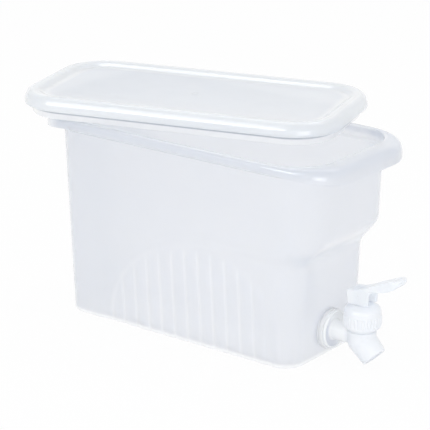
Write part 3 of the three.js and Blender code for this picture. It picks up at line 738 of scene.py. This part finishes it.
def paint_panel_light_and_shade(tree):
    """Painted highlights as pale lines at the grooves, the arch foot and the tank foot, and painted shade on
    the reeds.
    """
    x, y, z = axes_of(tree)
    on_side = rise(tree, maths(tree, "ABSOLUTE", y), *SIDE_Y)
    from_centre = maths(tree, "SUBTRACT", x, ARCH_CENTRE_X)
    rear_part = maths(tree, "DIVIDE", maths(tree, "MINIMUM", from_centre, 0), ARCH_REAR_REACH)
    front_part = maths(tree, "DIVIDE", maths(tree, "MAXIMUM", from_centre, 0), ARCH_FRONT_REACH)

    def depth_inside(across, height):
        from_middle = distance(tree, across, maths(tree, "DIVIDE", z, height))
        return product(tree, maths(tree, "SUBTRACT", 1, from_middle), height)

    flute_depth = depth_inside(maths(tree, "ADD", rear_part, front_part), ARCH_HEIGHT - ARCH_EDGE / 2)
    fluted = product(tree, rise(tree, flute_depth, 0, FLUTE_FADE), on_side)
    place = maths(tree, "DIVIDE", maths(tree, "SUBTRACT", x, FLUTE_START_X), FLUTE_PITCH)
    from_groove = product(tree, maths(tree, "PINGPONG", place, 0.5), FLUTE_PITCH)
    reed_shade_mask = rise(tree, from_groove, GROOVE_LINE, FLUTE_PITCH / 2)
    # Painted shade over the middle of each reed.
    paint(tree, product(tree, reed_shade_mask, fluted), PAINTED_REED_SHADE)
    groove = product(tree, rise(tree, from_groove, GROOVE_LINE, 0), fluted)
    before_end = rise(tree, x, LINES_END_X + FLUTE_PITCH, LINES_END_X)
    # Painted highlight along each groove.
    paint(tree, product(tree, groove, before_end, GROOVE_STRENGTH), PAINTED_LIGHT_LINE)
    past_foot = maths(tree, "SUBTRACT", depth_inside(rear_part, ARCH_HEIGHT), ARCH_EDGE / 2)
    arch_foot_highlight = product(tree, rise(tree, maths(tree, "ABSOLUTE", past_foot), STEP_LINE, 0), on_side)
    steep = at_least(tree, rise(tree, x, 0, ARCH_CENTRE_X - ARCH_REAR_REACH), LEVEL_STEP_SHARE)
    # Painted highlight along the foot of the arch's step.
    paint(tree, product(tree, arch_foot_highlight, steep, STEP_STRENGTH), PAINTED_LIGHT_LINE)
    # Painted highlight along the tank's foot.
    paint(tree, rise(tree, z, FOOT_LINE, FOOT_LINE / 3), PAINTED_LIGHT_LINE)


def paint_fold_shade(tree):
    """Painted shade, a deeper blue, in the rim's fold, at the far front, at the rear end and in the step over
    the tap.
    """
    x, y, z = axes_of(tree)
    rear, front, half, corner = section(TANK_HEIGHT)
    centred = maths(tree, "SUBTRACT", x, (front + rear) / 2)
    beyond = outside_box(tree, centred, y, (front - rear) / 2, half, corner)
    # Painted shade in the rim's fold, strongest on the wide end lips.
    rim_fold_shade = product(tree, rise(tree, beyond, 0, RIM_FOLD), rise(tree, z, LEDGE_HIGH, TANK_HEIGHT))
    rim_top = rise(tree, z, *RIM_TOP_Z)
    wide = at_least(tree, rise(tree, beyond, *RIM_FULL), RIM_MOUTH_SHARE)
    deep = at_least(tree, product(tree, rim_top, wide), RIM_SIDE_STRENGTH)
    paint(tree, product(tree, rim_fold_shade, deep), PAINTED_SHADE_BLUE)
    # Painted shade at the far front, deepest on its lip.
    past_corner = rise(tree, x, FOOT_LENGTH / 2 - CORNER_GROWTH, FOOT_LENGTH / 2)
    far_front_shade = product(tree, past_corner, rise(tree, y, *FAR_SHADE_Y))
    paint(tree, product(tree, far_front_shade, FAR_STRENGTH), PAINTED_SHADE_BLUE)
    paint(tree, product(tree, rise(tree, beyond, *FAR_LIP), rim_top, far_front_shade), PAINTED_DEEPEST_SHADE)
    # Painted shade towards the rear end.
    paint(tree, product(tree, rise(tree, x, *REAR_SHADE_X), REAR_STRENGTH), PAINTED_SHADE_BLUE)
    # Painted shade in the step over the tap.
    low, low_full, high_full, high = STEP_SHADE_Z
    step_shade = product(tree, rise(tree, z, low, low_full), rise(tree, z, high, high_full))
    paint(tree, product(tree, step_shade, rise(tree, x, *STEP_SHADE_X)), PAINTED_SHADE_BLUE)


paint_panel_light_and_shade(tank_plastic.node_tree)
paint_fold_shade(tank_plastic.node_tree)
print("nodes in the tank's plastic:", len(tank_plastic.node_tree.nodes))

# %% [markdown]
# ## The tank: boss for the tap
# A washer needs a flat, upright face, but the wall leans, so the mould adds a flat round pad around the
# hole. It is a short cylinder with its rim bevelled, joined to the wall, and then drilled.

# %% Tank boss
BOSS_BEVEL = 0.7 * MM
BAR_STEPS = 96
boss_top = TAP_AXIS_Z + BOSS_RADIUS
boss_foot = TAP_AXIS_Z - BOSS_RADIUS
boss_face = FOOT_LENGTH / 2 + math.tan(END_DRAFT) * boss_top + BOSS_PROUD
boss_back = FOOT_LENGTH / 2 + math.tan(END_DRAFT) * boss_foot - WALL - BOSS_PROUD


def round_bar(name, radius, start_x, end_x, z):
    """A cylinder along X, at the height z."""
    deselect_all()
    bpy.ops.mesh.primitive_cylinder_add(
        vertices=BAR_STEPS, radius=radius, depth=end_x - start_x,
        location=((start_x + end_x) / 2, 0, z), rotation=(0, math.pi / 2, 0))
    bar = bpy.context.object
    bar.name = name
    bpy.ops.object.transform_apply(location=True, rotation=True, scale=True)
    return bar


boss = round_bar("boss", BOSS_RADIUS, boss_back, boss_face, TAP_AXIS_Z)
apply_modifier(boss, "BEVEL", width=BOSS_BEVEL, segments=3, limit_method="ANGLE")
combine(tank, boss, "UNION")
drill = round_bar("drill", SHANK_HOLE, boss_back - WALL, boss_face + WALL, TAP_AXIS_Z)
combine(tank, drill, "DIFFERENCE")
close_up(tank)
dress(tank, tank_plastic, "jug", "tank_plastic", "tank")

# %% [markdown]
# The pad is a thick lump of the same plastic with the white nut and washers behind it, so hardly any light
# comes through it. Its faces take a denser plastic of their own.

# %% Pad faces
PAD_MARGIN = 0.3 * MM
tank.data.materials.append(pad_plastic)
pad_faces = 0
for face in tank.data.polygons:
    centre = face.center
    from_axis = math.hypot(centre.y, centre.z - TAP_AXIS_Z)
    if centre.x > boss_back and from_axis < BOSS_RADIUS + PAD_MARGIN:
        face.material_index = 1
        pad_faces += 1
print("faces of the pad:", pad_faces)

# %% [markdown]
# ## The lid
# The lid is a sunk panel inside a hollow, rounded bead, with a plug skirt below that drops into the mouth.
# Its section is drawn once, from the panel's underside round the bead to the panel's top, with every corner
# rounded as a mould would leave it. Each point of the section becomes a ring, a rounded rectangle. The lid
# lies turned on the rim, so it is made square and then turned, and the turn is applied to its mesh.

# %% Lid
LID_OVERHANG = 5.9 * MM
LID_CORNER = 39 * MM
LID_CENTRE = Vector((-28.5 * MM, 14.2 * MM, TANK_HEIGHT + 0.3 * MM))
LID_YAW = math.radians(16)
LID_ROUND = 1.1 * MM
LID_SECTION_MM = (
    (18.8, 12.9), (11, 14.5), (8.2, 14.5), (8.2, 0), (6.4, 0), (6.4, 15.4), (4.8, 15.4), (3, 12.7),
    (1.8, 7.3), (0.45, 7.3), (0, 9.1), (0.6, 12.7), (2.4, 16.3), (4.8, 17.8), (6.6, 18.1), (11, 17.3),
    (15.2, 15.1), (17, 14.7),
)
LID_SHARES = (-0.6, -0.3, 0, 0.3, 0.6)


def lid_ring(inset, z):
    """The lid's rounded rectangle, this far in from its edge."""
    rear, front, half, _ = section(TANK_HEIGHT, WALL - REBATE)
    length = (front - rear) / 2 + LID_OVERHANG - inset
    width = half + LID_OVERHANG - inset
    along = [length * share for share in LID_SHARES]
    corner = max(LID_CORNER - inset, LID_CORNER / 4)
    return [(x, y, z) for x, y, _, _ in outline(-length, length, width, corner, along)]


lid_section = rounded([(inset * MM, z * MM) for inset, z in LID_SECTION_MM], LID_ROUND)
lid = loft("lid_cover", [lid_ring(inset, z) for inset, z in lid_section])
lid.location = LID_CENTRE
lid.rotation_euler.z = LID_YAW
activate(lid)
bpy.ops.object.transform_apply(location=True, rotation=True, scale=True)
dress(lid, lid_plastic, "lid", "lid_plastic", "lid")

# %% [markdown]
# The lid's flat panel is thinner than its bead, so the dim inside of the jug shows through it and it looks
# deeper; this is painted shade, deepest towards the tap. The skirt is lit from both sides and looks paler,
# which is painted light, and a painted shadow runs along the skirt just below the bead. All are painted in
# the lid's own turned axes.

# %% Lid's painted light and shade
PAINTED_PANEL_SHADE = (0.70, 0.74, 0.80)
PAINTED_SKIRT_LIGHT = (0.98, 0.99, 1)
PANEL_INSET = 19.5 * MM
PANEL_SOFT = 3 * MM
DIM_END_STRENGTH = 0.3
SKIRT_TOP = 6.9 * MM
SKIRT_SOFT = 1 * MM
PAINTED_SLOT_SHADOW = (0.46, 0.48, 0.53)
SLOT_Z = (4.1 * MM, 5.1 * MM)


def paint_lid_light_and_shade(tree):
    """Painted shade on the panel, deepest towards the tap, painted light on the skirt and a painted shadow
    line on it below the bead.
    """
    x, y, z = axes_of(tree)
    from_x = maths(tree, "SUBTRACT", x, LID_CENTRE.x)
    from_y = maths(tree, "SUBTRACT", y, LID_CENTRE.y)
    cosine, sine = math.cos(LID_YAW), math.sin(LID_YAW)
    along = maths(tree, "ADD", product(tree, from_x, cosine), product(tree, from_y, sine))
    across = maths(tree, "SUBTRACT", product(tree, from_y, cosine), product(tree, from_x, sine))
    rear, front, half, _ = section(TANK_HEIGHT, WALL - REBATE)
    length = (front - rear) / 2 + LID_OVERHANG - PANEL_INSET
    width = half + LID_OVERHANG - PANEL_INSET
    beyond = outside_box(tree, along, across, length, width, LID_CORNER - PANEL_INSET)
    skirt_z = LID_CENTRE.z + SKIRT_TOP
    above = rise(tree, z, skirt_z, skirt_z + SKIRT_TOP)
    # Painted shade on the panel, deeper towards the tap.
    panel_shade_mask = product(tree, rise(tree, beyond, PANEL_SOFT, -PANEL_SOFT), above)
    paint(tree, panel_shade_mask, PAINTED_PANEL_SHADE)
    dim_end_shade = rise(tree, along, length / 3, length)
    paint(tree, product(tree, panel_shade_mask, dim_end_shade, DIM_END_STRENGTH), PAINTED_SHADE_BLUE)
    # Painted light on the skirt.
    skirt = rise(tree, z, skirt_z, skirt_z - SKIRT_SOFT)
    paint(tree, skirt, PAINTED_SKIRT_LIGHT)
    # Painted shadow: a dark band on the skirt just below the bead.
    slot_shadow_band = rise(tree, z, LID_CENTRE.z + SLOT_Z[0], LID_CENTRE.z + SLOT_Z[1])
    paint(tree, product(tree, slot_shadow_band, skirt), PAINTED_SLOT_SHADOW)


paint_lid_light_and_shade(lid_plastic.node_tree)
print("nodes in the lid's plastic:", len(lid_plastic.node_tree.nodes))

# %% [markdown]
# The plastic enters the mould at the middle of the panel and leaves a small round mark there.

# %% Gate mark
FINE_STEPS = 32
MARK_RADIUS = 3.2 * MM
MARK_HEIGHT = 0.2 * MM
panel_top = LID_CENTRE.z + LID_SECTION_MM[-1][1] * MM
mark_profile = rounded(
    [(0, -MARK_HEIGHT), (MARK_RADIUS, -MARK_HEIGHT), (MARK_RADIUS, MARK_HEIGHT / 2),
     (MARK_RADIUS * 0.6, MARK_HEIGHT), (MARK_RADIUS * 0.3, MARK_HEIGHT / 3), (0, MARK_HEIGHT / 4)],
    MARK_HEIGHT)
gate_mark = spun("lid_gate_mark", mark_profile, FINE_STEPS, centre=(LID_CENTRE.x, LID_CENTRE.y, panel_top))
dress(gate_mark, lid_plastic, "lid", "lid_plastic")

# %% [markdown]
# ## The tap
# The tap's body and lever are mouldings whose edges all run softly into each other. Their CAD shapes are
# right, so each is copied, remeshed at a fraction of a millimetre and relaxed, which rounds every edge
# alike. Before that, the flange gets its shallow dish, and the barrel an undercut below the bonnet.

# %% Tap body and lever
bonnet_low, bonnet_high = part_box("bonnet")
washer_low, washer_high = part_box("outer_washer")
pin_low, pin_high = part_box("lever_pin")
TAP_AXIS = Vector(((bonnet_low.x + bonnet_high.x) / 2, 0, TAP_AXIS_Z))
FLANGE_THICK = 2.2 * MM
SEAT_GAP = washer_low.x - boss_face
flange_face = washer_high.x + SEAT_GAP + FLANGE_THICK
DISH_MM = ((8.4, -1.3), (13.3, -1.3), (13.9, 2), (7.9, 2), (8.4, -1.3))
UNDERCUT_MM = ((10.1, 5.7), (12.5, 5.7), (12.5, 7.7), (10.1, 7.7), (10.1, 5.7))
ROUND_STEPS = 72
BODY_VOXEL = 0.4 * MM
BODY_PASSES = 4
LEVER_VOXEL = 0.3 * MM
LEVER_PASSES = 12
flange_centre = (flange_face, 0, TAP_AXIS_Z)
dish_profile = [(radius * MM, height * MM) for radius, height in DISH_MM]
dish = spun("dish", dish_profile, ROUND_STEPS, centre=flange_centre, axis=(1, 0, 0))
undercut_profile = [(radius * MM, height * MM) for radius, height in UNDERCUT_MM]
undercut = spun("undercut", undercut_profile, ROUND_STEPS, centre=TAP_AXIS)
tap_body = moulded_copy("tap_moulding", "tap_body", BODY_VOXEL, BODY_PASSES, (dish, undercut))
dress(tap_body, tap_plastic, "jug", "tap_plastic", "tap_body")
lever = moulded_copy("push_lever", "lever", LEVER_VOXEL, LEVER_PASSES)
dress(lever, lever_plastic, "lever", "tap_plastic", "lever")

# %% [markdown]
# The shank is thick and backed by the pale washer, so it looks whiter than the barrel; this is painted light
# in its base colour. The dish of its flange gets painted shade on the side turned away from the light.

# %% Shank's painted light and shade
PAINTED_SHANK_LIGHT = (0.965, 0.985, 1)
SHANK_END = (TAP_AXIS.x - 8 * MM, TAP_AXIS.x - 13 * MM)
PAINTED_DISH_SHADE = (0.72, 0.745, 0.82)
DISH_RADII = (8 * MM, 9.2 * MM, 12.8 * MM, 13.8 * MM)
DISH_SLANT = (0.85, 0.5)
DISH_SIDE = (5 * MM, -9 * MM)


def paint_shank_light_and_shade(tree):
    """Painted light that whitens the shank, and a painted shade crescent in the dish of its flange."""
    x, y, z = axes_of(tree)
    # Painted light: the shank whiter towards the tank.
    to_tank = rise(tree, x, *SHANK_END)
    paint(tree, to_tank, PAINTED_SHANK_LIGHT)
    # Painted shade: a crescent in the flange's dish on the side away from the light.
    up = maths(tree, "SUBTRACT", z, TAP_AXIS_Z)
    radius = distance(tree, up, y)
    inner, inner_full, outer_full, outer = DISH_RADII
    from_shank = rise(tree, radius, inner, inner_full)
    from_edge = rise(tree, radius, outer, outer_full)
    slant = maths(tree, "ADD", product(tree, y, DISH_SLANT[0]), product(tree, up, DISH_SLANT[1]))
    crescent = product(tree, from_shank, from_edge, rise(tree, slant, *DISH_SIDE), to_tank)
    paint(tree, crescent, PAINTED_DISH_SHADE)


paint_shank_light_and_shade(tap_plastic.node_tree)
print("nodes in the tap's plastic:", len(tap_plastic.node_tree.nodes))

# %% [markdown]
# The lever turns on a pin that is pressed in flush with its sides. A cylinder would do, but a spun profile
# has its ends rounded at once. It fills the holes in the lever's legs and rides on the stem.

# %% Lever pin
PIN_FILL = 0.32 * MM
PIN_ROUND = 0.2 * MM
pin_radius = (pin_high.z - pin_low.z) / 2 + PIN_FILL
pin_half = (pin_high.y - pin_low.y) / 2 + PIN_FILL
pin_profile = rounded(
    [(0, -pin_half), (pin_radius, -pin_half), (pin_radius, pin_half), (0, pin_half)], PIN_ROUND)
pin_centre = (TAP_AXIS.x, 0, (pin_low.z + pin_high.z) / 2)
pin = spun("pressed_pin", pin_profile, FINE_STEPS, centre=pin_centre, axis=(0, 1, 0))
dress(pin, lever_plastic, "stem", "tap_plastic", "lever_pin")

# %% [markdown]
# The bonnet is the screw cap that closes the barrel. It could be turned like the washer, but its grip ribs
# run only round a band, so it is lofted: the rings within the band swell into waves.

# %% Bonnet
RIB_SWELL = 0.4 * MM
RIB_COUNT = 32
RIB_BAND = (10.7 * MM, 18.5 * MM)
RIB_RUN_OUT = 0.7 * MM
RUN_OUT_SHARES = (0, 0.35, 0.65, 1)
SKIRT_RADIUS = 14.4 * MM
BONNET_ROUND = 0.7 * MM
BONNET_SECTION_MM = (
    (11.9, 7.8), (12.8, 7.8), (14.4, 9.4), (14.4, 19.4), (14, 22.6), (12.8, 24.6), (10.4, 25.9), (8, 27.1),
    (2.8, 27.1), (2.8, 24.2), (4.9, 24.2), (4.9, 18.3), (6.5, 18.3), (6.5, 21.2), (11.9, 21.2),
)
POINTS_PER_RIB = 10
BONNET_POINTS = RIB_COUNT * POINTS_PER_RIB


def bonnet_ring(radius, z):
    """A circle that swells, on the outer wall within the band, into broad ribs with narrow grooves."""
    into_band = min(z - RIB_BAND[0], RIB_BAND[1] - z) / RIB_RUN_OUT
    swell = RIB_SWELL * smooth(into_band) if radius > SKIRT_RADIUS - RIB_SWELL else 0
    ring = []
    for index in range(BONNET_POINTS):
        angle = index / BONNET_POINTS * 2 * math.pi
        reach = radius + swell * (1 - 2 * abs(math.sin(angle * RIB_COUNT / 2)) ** 3)
        ring.append((TAP_AXIS.x + reach * math.cos(angle), reach * math.sin(angle), TAP_AXIS.z + z))
    return ring


bonnet_section = rounded([(r * MM, z * MM) for r, z in BONNET_SECTION_MM], BONNET_ROUND, closed=True)
band_steps = [RIB_RUN_OUT * share for share in RUN_OUT_SHARES]
band_heights = [RIB_BAND[0] + step for step in band_steps]
band_heights += [RIB_BAND[1] - step for step in reversed(band_steps)]
outer_wall = SKIRT_RADIUS - RIB_SWELL
below_band = max(i for i, (r, z) in enumerate(bonnet_section) if r > outer_wall and z < RIB_BAND[0])
band = [(SKIRT_RADIUS, z) for z in band_heights]
bonnet_rings = bonnet_section[:below_band + 1] + band + bonnet_section[below_band + 1:]
bonnet = loft("ribbed_bonnet", [bonnet_ring(r, z) for r, z in bonnet_rings], closed=True)
dress(bonnet, tap_plastic, "jug", "tap_plastic", "bonnet")

# %% [markdown]
# The silicone washer is squeezed between the tank's pad and the flange, so it fills the space between them
# and swells a little at its edge.

# %% Washer
WASHER_SWELL = 1.2 * MM
WASHER_ROUND = 0.6 * MM
washer_radius = (washer_high.z - washer_low.z) / 2
washer_end = washer_high.x - washer_low.x + SEAT_GAP
washer_profile = rounded(
    [(SHANK_HOLE, -SEAT_GAP), (washer_radius - WASHER_SWELL, -SEAT_GAP), (washer_radius + WASHER_SWELL, 0),
     (washer_radius + WASHER_SWELL, washer_end - SEAT_GAP), (washer_radius - WASHER_SWELL, washer_end),
     (SHANK_HOLE, washer_end)], WASHER_ROUND, closed=True)
washer_profile.append(washer_profile[0])
washer_centre = (washer_low.x, 0, TAP_AXIS_Z)
washer = spun("boss_washer", washer_profile, ROUND_STEPS, centre=washer_centre, axis=(1, 0, 0))
dress(washer, silicone, "jug", "silicone", "outer_washer")

# %% [markdown]
# ## The spring
# The spring sits between the stem's collar and the bonnet. It gets shorter when the lever lifts the stem. It
# is drawn as a screw: a small circle, the wire's section, is carried round the axis as it climbs.

# %% Spring
spring_low, spring_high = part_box("stem_spring")
WIRE_RADIUS = 0.45 * MM
COIL_RADIUS = (spring_high.x - spring_low.x) / 2 - WIRE_RADIUS
SPRING_TURNS = 5
SPRING_STEPS = 28
WIRE_SIDES = 10


def spring_ring(share):
    """The wire's small circle at this share of the coil."""
    angle = share * SPRING_TURNS * 2 * math.pi
    out = Vector((math.cos(angle), math.sin(angle), 0))
    climb = spring_high.z - spring_low.z - 2 * WIRE_RADIUS
    middle = Vector((TAP_AXIS.x, 0, spring_low.z + WIRE_RADIUS + climb * share)) + out * COIL_RADIUS
    ring = []
    for side in range(WIRE_SIDES):
        turn = side / WIRE_SIDES * 2 * math.pi
        upwards = Vector((0, 0, WIRE_RADIUS * math.sin(turn)))
        ring.append(middle + out * (WIRE_RADIUS * math.cos(turn)) + upwards)
    return ring


ring_count = SPRING_TURNS * SPRING_STEPS
spring = loft("coil_spring", [spring_ring(index / ring_count) for index in range(ring_count + 1)])
dress(spring, spring_steel, "jug", "spring_steel", "stem_spring")
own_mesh(spring)

# %% [markdown]
# ## Pieces that keep their CAD mesh
# The stem, its plug and rings, the nut and the inner washer are small, plain and mostly hidden. They only
# need a finish, which goes into their material slots.

# %% Finishes of the CAD nodes
finish_of = {
    "valve_stem": tap_plastic, "lock_nut": tap_plastic,
    "inner_washer": silicone, "bonnet_seal": silicone, "valve_plug": silicone, "stem_o_ring": silicone,
}
for name, material in finish_of.items():
    nodes[name].data.materials.clear()
    nodes[name].data.materials.append(material)
    activate(nodes[name])
    bpy.ops.object.shade_smooth_by_angle(angle=SMOOTH_ANGLE)
print("CAD nodes with a finish:", len(finish_of))

# %% [markdown]
# ## Floor, backdrop and light
# The photograph is high-key: white all round, hardly any shadow. The floor is a matt white plane. Where the
# camera, a reflection or a transmitted ray sees it, most of it is plain white, and the rest keeps the soft
# shadow. The world is full white for those rays too, and a lower level lights the room.

# %% Stage
FLOOR_SIZE = 12
FLOOR_COLOUR = (0.93, 0.935, 0.94, 1)
FLOOR_WHITE_SHARE = 0.95
WORLD_LEVEL = 0.8


def seen_directly(tree):
    """1 for camera, glossy and transmission rays, and 0 for the rays that light the object."""
    path = tree.nodes.new("ShaderNodeLightPath")
    seen = maths(tree, "ADD", path.outputs["Is Camera Ray"], path.outputs["Is Glossy Ray"])
    seen = maths(tree, "ADD", seen, path.outputs["Is Transmission Ray"])
    return maths(tree, "MINIMUM", seen, 1)


def white_floor():
    """Matt white that is seen as nearly plain white."""
    material = bpy.data.materials.new("white_floor")
    material.use_nodes = True
    tree = material.node_tree
    tree.nodes.remove(tree.nodes["Principled BSDF"])
    matt = tree.nodes.new("ShaderNodeBsdfDiffuse")
    matt.inputs["Color"].default_value = FLOOR_COLOUR
    glow = tree.nodes.new("ShaderNodeEmission")
    mix = tree.nodes.new("ShaderNodeMixShader")
    tree.links.new(product(tree, seen_directly(tree), FLOOR_WHITE_SHARE), mix.inputs["Fac"])
    tree.links.new(matt.outputs[0], mix.inputs[1])
    tree.links.new(glow.outputs[0], mix.inputs[2])
    tree.links.new(mix.outputs[0], tree.nodes["Material Output"].inputs["Surface"])
    return material


deselect_all()
bpy.ops.mesh.primitive_plane_add(size=FLOOR_SIZE)
floor = bpy.context.object
floor.name = "floor"
floor.data.materials.append(white_floor())

world = bpy.data.worlds.new("studio")
bpy.context.scene.world = world
world.use_nodes = True
world_tree = world.node_tree
background = world_tree.nodes["Background"]
background.inputs["Color"].default_value = (1, 1, 1, 1)
level = world_tree.nodes.new("ShaderNodeMapRange")
level.inputs["To Min"].default_value = WORLD_LEVEL
level.inputs["To Max"].default_value = 1
world_tree.links.new(seen_directly(world_tree), level.inputs["Value"])
world_tree.links.new(level.outputs["Result"], background.inputs["Strength"])
print("floor in metres:", FLOOR_SIZE, "world level:", WORLD_LEVEL)

# %% [markdown]
# Three soft lamps shape the object: a strip overhead and behind, whose reflection runs along the lid's far
# bead, one to the left of the camera that keeps the long side brighter than the ends, and one at the tap's
# end. A fourth is seen only in gloss, like a white card, and draws the streak along the near bead.

# %% Lamps


def soft_lamp(name, place, aim, size, power, colour=(1, 1, 1), gloss_only=False):
    """A rectangular lamp turned to its aim; a gloss-only one shows just in reflections."""
    direction = Vector(aim) - Vector(place)
    bpy.ops.object.light_add(type="AREA", location=place)
    lamp = bpy.context.object
    lamp.name = name
    lamp.rotation_mode = "QUATERNION"
    lamp.rotation_quaternion = direction.to_track_quat("-Z", "Y")
    lamp.data.shape = "RECTANGLE"
    lamp.data.size, lamp.data.size_y = size
    lamp.data.energy = power
    lamp.data.color = colour
    lamp.visible_transmission = False
    lamp.visible_diffuse = not gloss_only
    print("lamp", name, "at", round(direction.length, 2), "m,", power, "W")


soft_lamp("overhead", (-0.15, 0.45, 1.25), (0, 0, 0.1), (1.5, 0.12), 1.9)
soft_lamp("camera_side", (-0.17, -1.42, 0.9), (0, 0, 0.08), (1.3, 0.5), 4, (1, 0.995, 0.985))
soft_lamp("tap_side", (1.3, -0.75, 0.15), (0.1, 0, 0.05), (0.7, 0.7), 4.5)
soft_lamp("gloss_card", (-0.17, -1.4, 0.82), (0, 0, 0.17), (1.3, 0.22), 5.5, gloss_only=True)

# %% [markdown]
# ## Colour and the end
# The view stays Standard, so a colour shows about as it is written.

# %% Finish
bpy.context.scene.view_settings.view_transform = "Standard"
